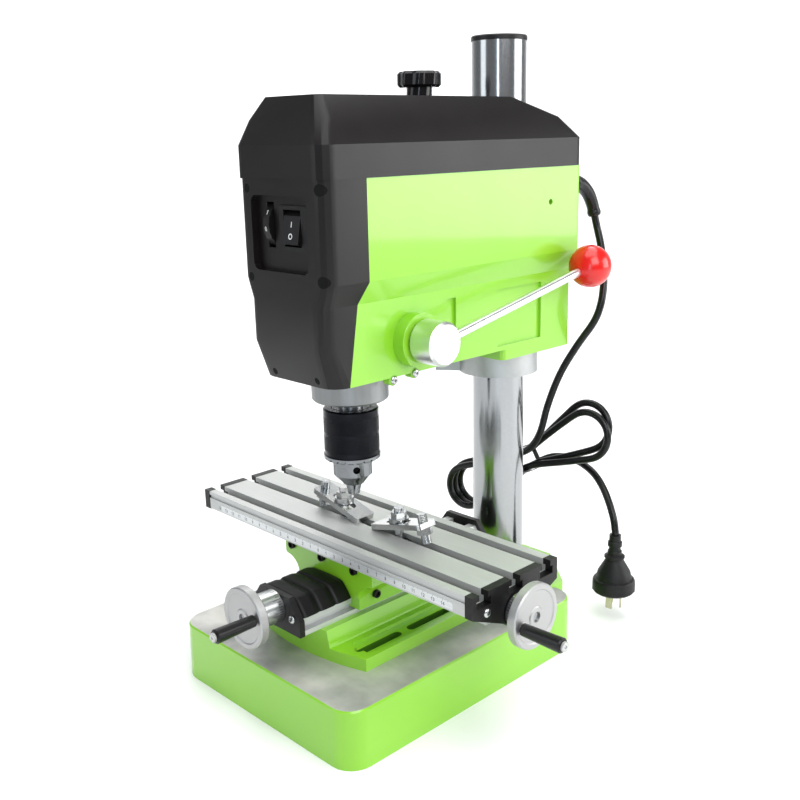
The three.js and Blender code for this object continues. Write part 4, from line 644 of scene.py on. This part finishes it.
relief_line = smooth(RELIEF, 8)
drop_line = smooth(DROP, 8)
tail_line = smooth(TAIL + [[102, 207.5, 72]], 8)
joined = resampled(np.vstack([relief_line[2:-1], drop_line, hank(96)[1:-1], tail_line]), 900)
window = np.hanning(17) / np.hanning(17).sum()
cord_line = joined.copy()
for k in range(3):
    cord_line[8:-8, k] = np.convolve(joined[:, k], window, "valid")
print("cord", round(length_of(cord_line)), "mm, of which hank", round(length_of(hank(96))))

# %% [markdown]
# The cord is a tube along that route. The strain relief tapers from 7.4 mm radius at the head
# towards the cord, with a raised collar near its end. A flat tie holds the hank at its waist in
# one oblong turn round all its strands: the root of the sine and of the cosine, each with its
# sign.

# %% Cord, strain relief and tie


def tube(line, radius, sides=16):
    """Rings square to a line, each turned on from the last so that none twists."""
    ahead = np.gradient(line, axis=0)
    ahead /= np.linalg.norm(ahead, axis=1)[:, None]
    side = np.zeros_like(ahead)
    side[0] = np.cross(ahead[0], (1, 0, 0))
    side[0] /= np.linalg.norm(side[0])
    for k in range(1, len(line)):
        side[k] = side[k - 1] - ahead[k] * (side[k - 1] @ ahead[k])
        side[k] /= np.linalg.norm(side[k])
    up = np.cross(ahead, side)
    angle = np.arange(sides) * 2 * np.pi / sides
    radius = np.broadcast_to(radius, len(line))
    rings = line[:, None] + radius[:, None, None] * (
        np.cos(angle)[None, :, None] * side[:, None] + np.sin(angle)[None, :, None] * up[:, None])
    rings = np.concatenate([np.repeat(line[:1, None], sides, 1), rings,
                            np.repeat(line[-1:, None], sides, 1)])
    return rings.reshape(-1, 3), grid_faces(len(rings), sides)


cord = piece("mains_cord", [tube(cord_line, CORD_R)], "head", rubber.material)
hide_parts("cord_drop", "cord_coil", "cord_tail")

even = resampled(relief_line, 61)
share = np.linspace(0, 1, 61)
taper = 7.4 - 1.9 * share ** 0.7 + 0.8 * np.exp(-((share - 0.93) / 0.045) ** 2)
taper[-1] = 4.2
flange = turned([(0, 0), (9.4, 0), (10, 0.6), (10, 1.9), (9.2, 2.5), (0, 2.5)], RELIEF[0],
                (0, 1, 0))
relief = piece("strain_relief", [tube(even, taper, 28), flange], "head", rubber.material)
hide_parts("cord_gland")

TIE_AT = np.array([-12, 216, 130])
TIE_ACROSS, TIE_DEEP, TIE_HALF_WIDE = 12.4, 15.2, 2.4
turns = np.linspace(0, 2 * np.pi, 41)
flat = np.stack([TIE_ACROSS * np.sign(np.cos(turns)) * abs(np.cos(turns)) ** 0.5,
                 TIE_DEEP * np.sign(np.sin(turns)) * abs(np.sin(turns)) ** 0.5], 1)
lean = np.array([HANK["lean"][0], HANK["tilt"], HANK["lean"][1]])
strand = np.array([-HANK["lean"][1], 0, HANK["lean"][0]])
tie_line = TIE_AT + flat[:, :1] * strand + flat[:, 1:] * np.array([0, 1, 0])
tie_grid = np.stack([tie_line + a * TIE_HALF_WIDE * lean + b * (tie_line - TIE_AT) / 14
                     for a, b in ((-1, 0), (1, 0), (1, 1), (-1, 1), (-1, 0))])
piece("cord_tie", [(tie_grid.reshape(-1, 3), grid_faces(5, 41))], "head", rubber.material)

# %% [markdown]
# ## The pleated way cover
# A rubber cover is draped over the rail and its leadscrew between the front end cap and the
# saddle. It is one folded sheet, so it is a grid of outlines that swell and shrink along the
# rail. It rides on no moving body.

# %% Way cover
COVER_FROM, COVER_TO, RAIL_Z = -109.6, -60.4, 73.8
SWELL, DRAPE_MIDDLE = 1.6, 8
DRAPE = [[28.3, 14.6], [25, 19], [21.4, 23], [18.6, 25.6], [16, 26.3], [12, 26.5], [6, 26.6],
         [0, 26.6]]


def pleated(wall, folds=3, rows=97):
    """Outlines along Y, pushed out from the rail's middle by a rounded saw of the distance."""
    share = np.linspace(0, 1, rows)
    wave = (share * folds) % 1
    swell = SWELL * np.clip(np.minimum(wave / 0.14, (1 - wave) / 0.3), 0, 1) ** 0.7
    swell[[0, -1]] = 0
    half = np.array(DRAPE, float)
    whole = np.vstack([half, (half * [-1, 1])[-2::-1]])
    out = whole - [0, DRAPE_MIDDLE]
    out /= np.linalg.norm(out, axis=1)[:, None]
    y = COVER_FROM + share * (COVER_TO - COVER_FROM)
    sheets = []
    for grow in (wall, 0):
        line = whole[None] + out[None] * (swell + grow)[:, None, None]
        sheets.append(np.stack([line[..., 0], np.repeat(y[:, None], len(whole), 1),
                                line[..., 1] + RAIL_Z], -1))
    both = np.concatenate([sheets[0], sheets[1][:, ::-1]], 1)
    count = len(whole)
    ends = np.concatenate([both[:1], both, both[-1:]])
    for end in (0, -1):
        ends[end, count:] = ends[end, :count][::-1]
    return ends.reshape(-1, 3), grid_faces(len(ends), 2 * count)


way_cover = piece("pleated_way_cover", [pleated(1.2)], None, soft_rubber.material, 60)
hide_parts("way_cover")
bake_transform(way_cover)

# %% [markdown]
# ## The drive belt
# Under the cover a V-belt runs from the motor's pulley to the spindle's. Its line is two arcs
# and the two straights that touch both, and its section is a wedge that is widest outside.

# %% Drive belt
BELT_Z, BELT_HALF = 428.0, 3.7
MOTOR_Y, SPINDLE_Y, SMALL_R, BIG_R = 74.0, -28.0, 16.3, 36.3


def belt_loop(grow, count=180):
    """The tight outline round two circles, grown by a distance."""
    wrap = math.acos((BIG_R - SMALL_R) / (MOTOR_Y - SPINDLE_Y))
    small = np.linspace(-wrap, wrap, count // 3)
    big = np.linspace(wrap, 2 * np.pi - wrap, count)
    rim = [np.stack([(r + grow) * np.sin(t), y + (r + grow) * np.cos(t)], 1)
           for r, y, t in ((SMALL_R, MOTOR_Y, small), (BIG_R, SPINDLE_Y, big))]
    return np.concatenate(rim)


wedge = [(0.1, -BELT_HALF + 1.2), (2.1, -BELT_HALF), (2.3, -BELT_HALF + 0.3),
         (2.3, BELT_HALF - 0.3), (2.1, BELT_HALF), (0.1, BELT_HALF - 1.2),
         (0.1, -BELT_HALF + 1.2)]
loops = [belt_loop(grow) for grow, _ in wedge]
belt_grid = np.stack([np.c_[loop, np.full(len(loop), BELT_Z + height)]
                      for loop, (_, height) in zip(loops, wedge)])
belt = piece("v_belt", [(belt_grid.reshape(-1, 3), grid_faces(*belt_grid.shape[:2]))],
             "head", soft_rubber.material)
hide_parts("drive_belt")

# %% [markdown]
# ## Fasteners
# Cap screws have a hexagonal socket, pan heads a cross. Both are turned shapes: rings from the
# seat up over the rounded head, then down into the recess, whose rings are a hexagon or a
# cross instead of a circle. Screws of one kind on one body are one mesh.

# %% Screws


def cap_screw(at, direction, r=4.0, high=4.0, hexagon=2.1):
    """A socket head: a cylinder with a rounded rim and a hexagonal recess."""
    rim = [(0, -0.5), (r, -0.5), (r, high - 0.5), (r - 0.15, high - 0.15), (r - 0.5, high)]
    recess = [(hexagon + 0.4, high), (hexagon, high - 0.3, "hex"), (hexagon, high * 0.35, "hex"),
              (0, high * 0.3)]
    return turned(rim + recess, at, direction, 36)


def pan_screw(at, direction, r=3.4, high=2.0):
    """A domed head with a cross cut into it."""
    dome = [(r * math.cos(a), high * (0.25 + 0.75 * math.sin(a)))
            for a in np.linspace(0, 1.15, 6)]
    return turned([(0, -0.4), (r, -0.4), *dome, (r * 0.5, high * 0.93, "cross"),
                   (r * 0.4, high * 0.35, "cross"), (0, high * 0.25)], at, direction, 48)


TO_FRONT, TO_RIGHT, TO_LEFT = (0, -1, 0), (1, 0, 0), (-1, 0, 0)
gib = [cap_screw((x, -60, 114), TO_FRONT, 3.5, 3.2) for x in (-44.5, -5.5, 34.5)]
gib.append(cap_screw((37.5, -41, 88.5), TO_RIGHT, 3.5, 3.2))
piece("saddle_gib_screws", gib, "saddle", black.material)
PAN_HEADS = {
    "rail_cap_screws": ("base", [pan_screw((x, -115, 86.7), TO_FRONT) for x in (-21.5, 21.5)]),
    "end_cap_screws": ("table", [pan_screw((x, y, 121), out) for x, out in
                                 ((169, TO_RIGHT), (-162.5, TO_LEFT)) for y in (-53.6, 7.6)]),
    "x_handle_screw": ("x_screw", [pan_screw((225.6, -37.15, 109), TO_RIGHT, 3.6, 1.0)]),
    "y_handle_screw": ("y_screw", [pan_screw((16.5, -184.0, 96.3), TO_FRONT, 3.6, 1.0)]),
}
for name, (body, heads) in PAN_HEADS.items():
    piece(name, heads, body, zinc.material)

# %% [markdown]
# ## Numbers and marks
# The scale, the dial and the rocker carry plain numbers and marks. Each digit is a few straight
# strokes, and each stroke is a thin closed bar lying on the surface.

# %% Numbers
RING = [(0.3 + 0.28 * math.cos(a), 0.5 + 0.5 * math.sin(a))
        for a in np.linspace(0, 2 * np.pi, 13)]
DIGITS = {
    "0": RING, "1": [(0.12, 0.8), (0.34, 1), (0.34, 0)],
    "2": [(0.02, 0.76), (0.14, 0.96), (0.36, 1), (0.56, 0.86), (0.54, 0.6), (0, 0), (0.6, 0)],
    "3": [(0, 0.9), (0.24, 1), (0.5, 0.92), (0.52, 0.66), (0.26, 0.54), (0.58, 0.4), (0.56, 0.12),
          (0.28, 0), (0, 0.1)],
    "4": [(0.46, 0), (0.46, 1), (0, 0.3), (0.62, 0.3)],
    "5": [(0.54, 1), (0.1, 1), (0.06, 0.56), (0.34, 0.62), (0.58, 0.44), (0.54, 0.12), (0.28, 0),
          (0, 0.1)],
    "6": [(0.5, 0.96), (0.2, 0.86), (0.02, 0.4), (0.12, 0.06), (0.4, 0), (0.58, 0.26),
          (0.42, 0.52), (0.1, 0.46)],
    "7": [(0, 1), (0.6, 1), (0.22, 0)],
    "8": [(0.3, 0.54), (0.08, 0.76), (0.3, 1), (0.52, 0.76), (0.3, 0.54), (0.03, 0.26), (0.3, 0),
          (0.57, 0.26), (0.3, 0.54)],
    "9": [(0.1, 0.04), (0.4, 0.14), (0.58, 0.6), (0.48, 0.94), (0.2, 1), (0.02, 0.74),
          (0.18, 0.48), (0.5, 0.54)],
}


def stroke(ends, width, thick):
    """One straight bar between two points of a flat drawing, as a closed box of six quads."""
    start, end = np.array(ends, float)
    ahead = (end - start) / max(np.linalg.norm(end - start), 1e-9) * width / 2
    side = np.array([-ahead[1], ahead[0]])
    flat = np.array([start - ahead - side, end + ahead - side, end + ahead + side,
                     start - ahead + side])
    box = np.concatenate([np.c_[flat, np.zeros(4)], np.c_[flat, np.full(4, thick)]])
    faces = np.array([[3, 2, 1, 0], [4, 5, 6, 7], [0, 1, 5, 4], [1, 2, 6, 5], [2, 3, 7, 6],
                      [3, 0, 4, 7]])
    return box, faces


def number(text, at, right, up, high, width=0.34, thick=0.12):
    """Digits drawn round a point, on the plane of two directions."""
    right, up = (np.array(v, float) / np.linalg.norm(v) for v in (right, up))
    parts = []
    for place, digit in enumerate(text):
        line = np.array(DIGITS[digit], float) * high
        line[:, 0] += (place * 0.84 - 0.42 * len(text) + 0.12) * high
        line[:, 1] -= high / 2
        parts += [stroke(ends, width, thick) for ends in zip(line[:-1], line[1:])]
    flat, faces = together(parts)
    frame_axes = np.stack([right, up, np.cross(right, up)])
    return flat @ frame_axes + np.array(at, float), faces


piece("scale_numbers", [
    number(str(abs(x) // 10), (x, -68.6, 124.3), TO_RIGHT, (0, 0, 1), 2.4, 0.4)
    for x in range(-140, 150, 10)], "table", ink.material)

DIAL_AT, DIAL_R = np.array([-17.5, -70.5, 388]), 20.0
dial_parts = []
for value, degrees in enumerate(range(-8, 240, 36)):
    tilt = math.radians(degrees)
    out = np.array([0, -math.cos(tilt), math.sin(tilt)])
    dial_parts.append(number(str(value), DIAL_AT + DIAL_R * out, TO_RIGHT, (0, out[2], -out[1]),
                             3.0, 0.45))
piece("dial_numbers", dial_parts, "dial", marks.material)

# %% [markdown]
# The paddle of the rocker is a wedge: one outline seen from the side, carried across its width.
# A bar and a circle lie on its sloping face, between its top and its bottom edge.

# %% Rocker
TOP, BOTTOM = np.array([10, -86.65, 395.7]), np.array([10, -90.26, 375.2])
PADDLE_X = (0.4, 19.6)
FACE_UP = (TOP - BOTTOM) / np.linalg.norm(TOP - BOTTOM)
FACE_OUT = np.cross((1, 0, 0), FACE_UP)
bar, bar_faces = stroke([(0, -1.7), (0, 1.7)], 0.7, 0.12)
bar = bar @ np.stack([[1, 0, 0], FACE_UP, FACE_OUT]) + TOP + (BOTTOM - TOP) * 0.3
circle = turned([(1.5, -0.05), (2.2, -0.05), (2.2, 0.12), (1.5, 0.12), (1.5, -0.05)],
                TOP + (BOTTOM - TOP) * 0.72, FACE_OUT, 32)
outline = np.array([TOP[1:], BOTTOM[1:], [-83.3, 373.4], [-80.5, 377.75], [-77.7, 393.5],
                    [-78.8, 398.6], [-83.4, 398.8], TOP[1:]])
low, high = (np.c_[np.full(8, x), outline] for x in PADDLE_X)
ends = [np.tile([x, *outline[:7].mean(0)], (8, 1)) for x in PADDLE_X]
paddle = np.concatenate([ends[0], low, high, ends[1]])
rocker_paddle = piece("rocker_paddle", [(paddle, grid_faces(4, 8))], "switch", black.material)
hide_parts("rocker")
piece("rocker_marks", [(bar, bar_faces), circle], "switch", marks.material)

# %% [markdown]
# ## Lugs of the quill lock
# Two short lugs hang from the lower edge of the head on the operator's right, each with a
# screw that faces right.

# %% Lock lugs
LUGS = [(-21.9, 265.8), (1.9, 267.4)]
lug = [(0, 0), (4.6, 0), (4.6, 7.4), (4.1, 8), (0, 8)]
piece("quill_lock_lugs", [turned(lug, (37.5, y, z), TO_RIGHT, 40) for y, z in LUGS], "head",
      green.material)
piece("quill_lock_screws", [pan_screw((45.5, y, z), TO_RIGHT, 3.5, 2.2) for y, z in LUGS],
      "head", zinc.material)

# %% [markdown]
# ## Floor and light
# The machine stands on a pale studio floor that curves up behind it. Two large soft lights on
# the right and one above give the broad highlights on the enamel, and the gaps between them
# leave the dark bands that make steel look like steel. The light behind on the right hangs low,
# so that the upper half of the head's side mirrors it. A weak light fills the front, a narrow
# one draws the line down the panel's corner, and one brightens the wall behind.

# %% Studio
FORWARD = np.array([-BACK[0], -BACK[1], 0.0])
FORWARD /= np.linalg.norm(FORWARD)
FLOOR_HALF, WALL_HIGH, BEND_R = 5200, 2600, 900
ACROSS = np.array([-FORWARD[1], FORWARD[0], 0.0])
bend = np.linspace(0, np.pi / 2, 17)
run = np.r_[-2400, 1500 + BEND_R * np.sin(bend), 1500 + BEND_R]
rise = np.r_[0, BEND_R * (1 - np.cos(bend)), WALL_HIGH]
sides = np.array([-FLOOR_HALF, FLOOR_HALF])
sweep = (run[:, None, None] * FORWARD + sides[None, :, None] * ACROSS
         + rise[:, None, None] * np.array([0, 0, 1.0]))
pale = Finish("pale_floor", Roughness=0.6)
pale.set(Base_Color=pale.mix(colour("fbfbfb"), colour("f6f6f6"), pale.noise(2.0)))
floor = piece("studio_floor", [(sweep.reshape(-1, 3), grid_faces(len(run), 2, False))], None,
              pale.material)


def soft_light(name, place, target, size, power, tint=(1, 1, 1)):
    """A rectangular light in metres and watts that faces its target."""
    lamp = bpy.data.lights.new(name, "AREA")
    lamp.shape, lamp.size, lamp.size_y = "RECTANGLE", size[0], size[1]
    lamp.energy, lamp.color = power, tint
    made = bpy.data.objects.new(name, lamp)
    bpy.context.scene.collection.objects.link(made)
    made.location = place
    made.rotation_euler = (Vector(target) - Vector(place)).to_track_quat("-Z", "Y").to_euler()


soft_light("key_right", (1.25, -0.35, 1.2), (0, 0, 0.32), (1.0, 1.0), 17)
soft_light("sheen_right", (1.5, 1.4, 0.7), (0, 0, 0.35), (1.3, 1.1), 24)
soft_light("fill_front", (-0.9, -1.7, 0.9), (0, 0, 0.25), (0.9, 1.2), 8, (0.9, 0.95, 1.0))
soft_light("corner_strip", (1.2, -1.35, 0.55), (0.05, -0.09, 0.35), (0.1, 1.0), 5,
           (0.7, 0.85, 1.0))
soft_light("top", (0.1, 0.1, 1.9), (0, 0, 0.2), (1.6, 1.6), 25)
soft_light("backdrop_wash", (-0.9, 0.9, 1.9), (-1.3, 1.4, 0.3), (1.6, 0.8), 24)
world = bpy.data.worlds.new("studio")
world.use_nodes = True
background = world.node_tree.nodes["Background"]
background.inputs["Color"].default_value = (0.95, 0.97, 1.0, 1)
background.inputs["Strength"].default_value = 0.3
bpy.context.scene.world = world
bpy.context.scene.view_settings.view_transform = "Standard"
print("lights", len(bpy.data.lights))
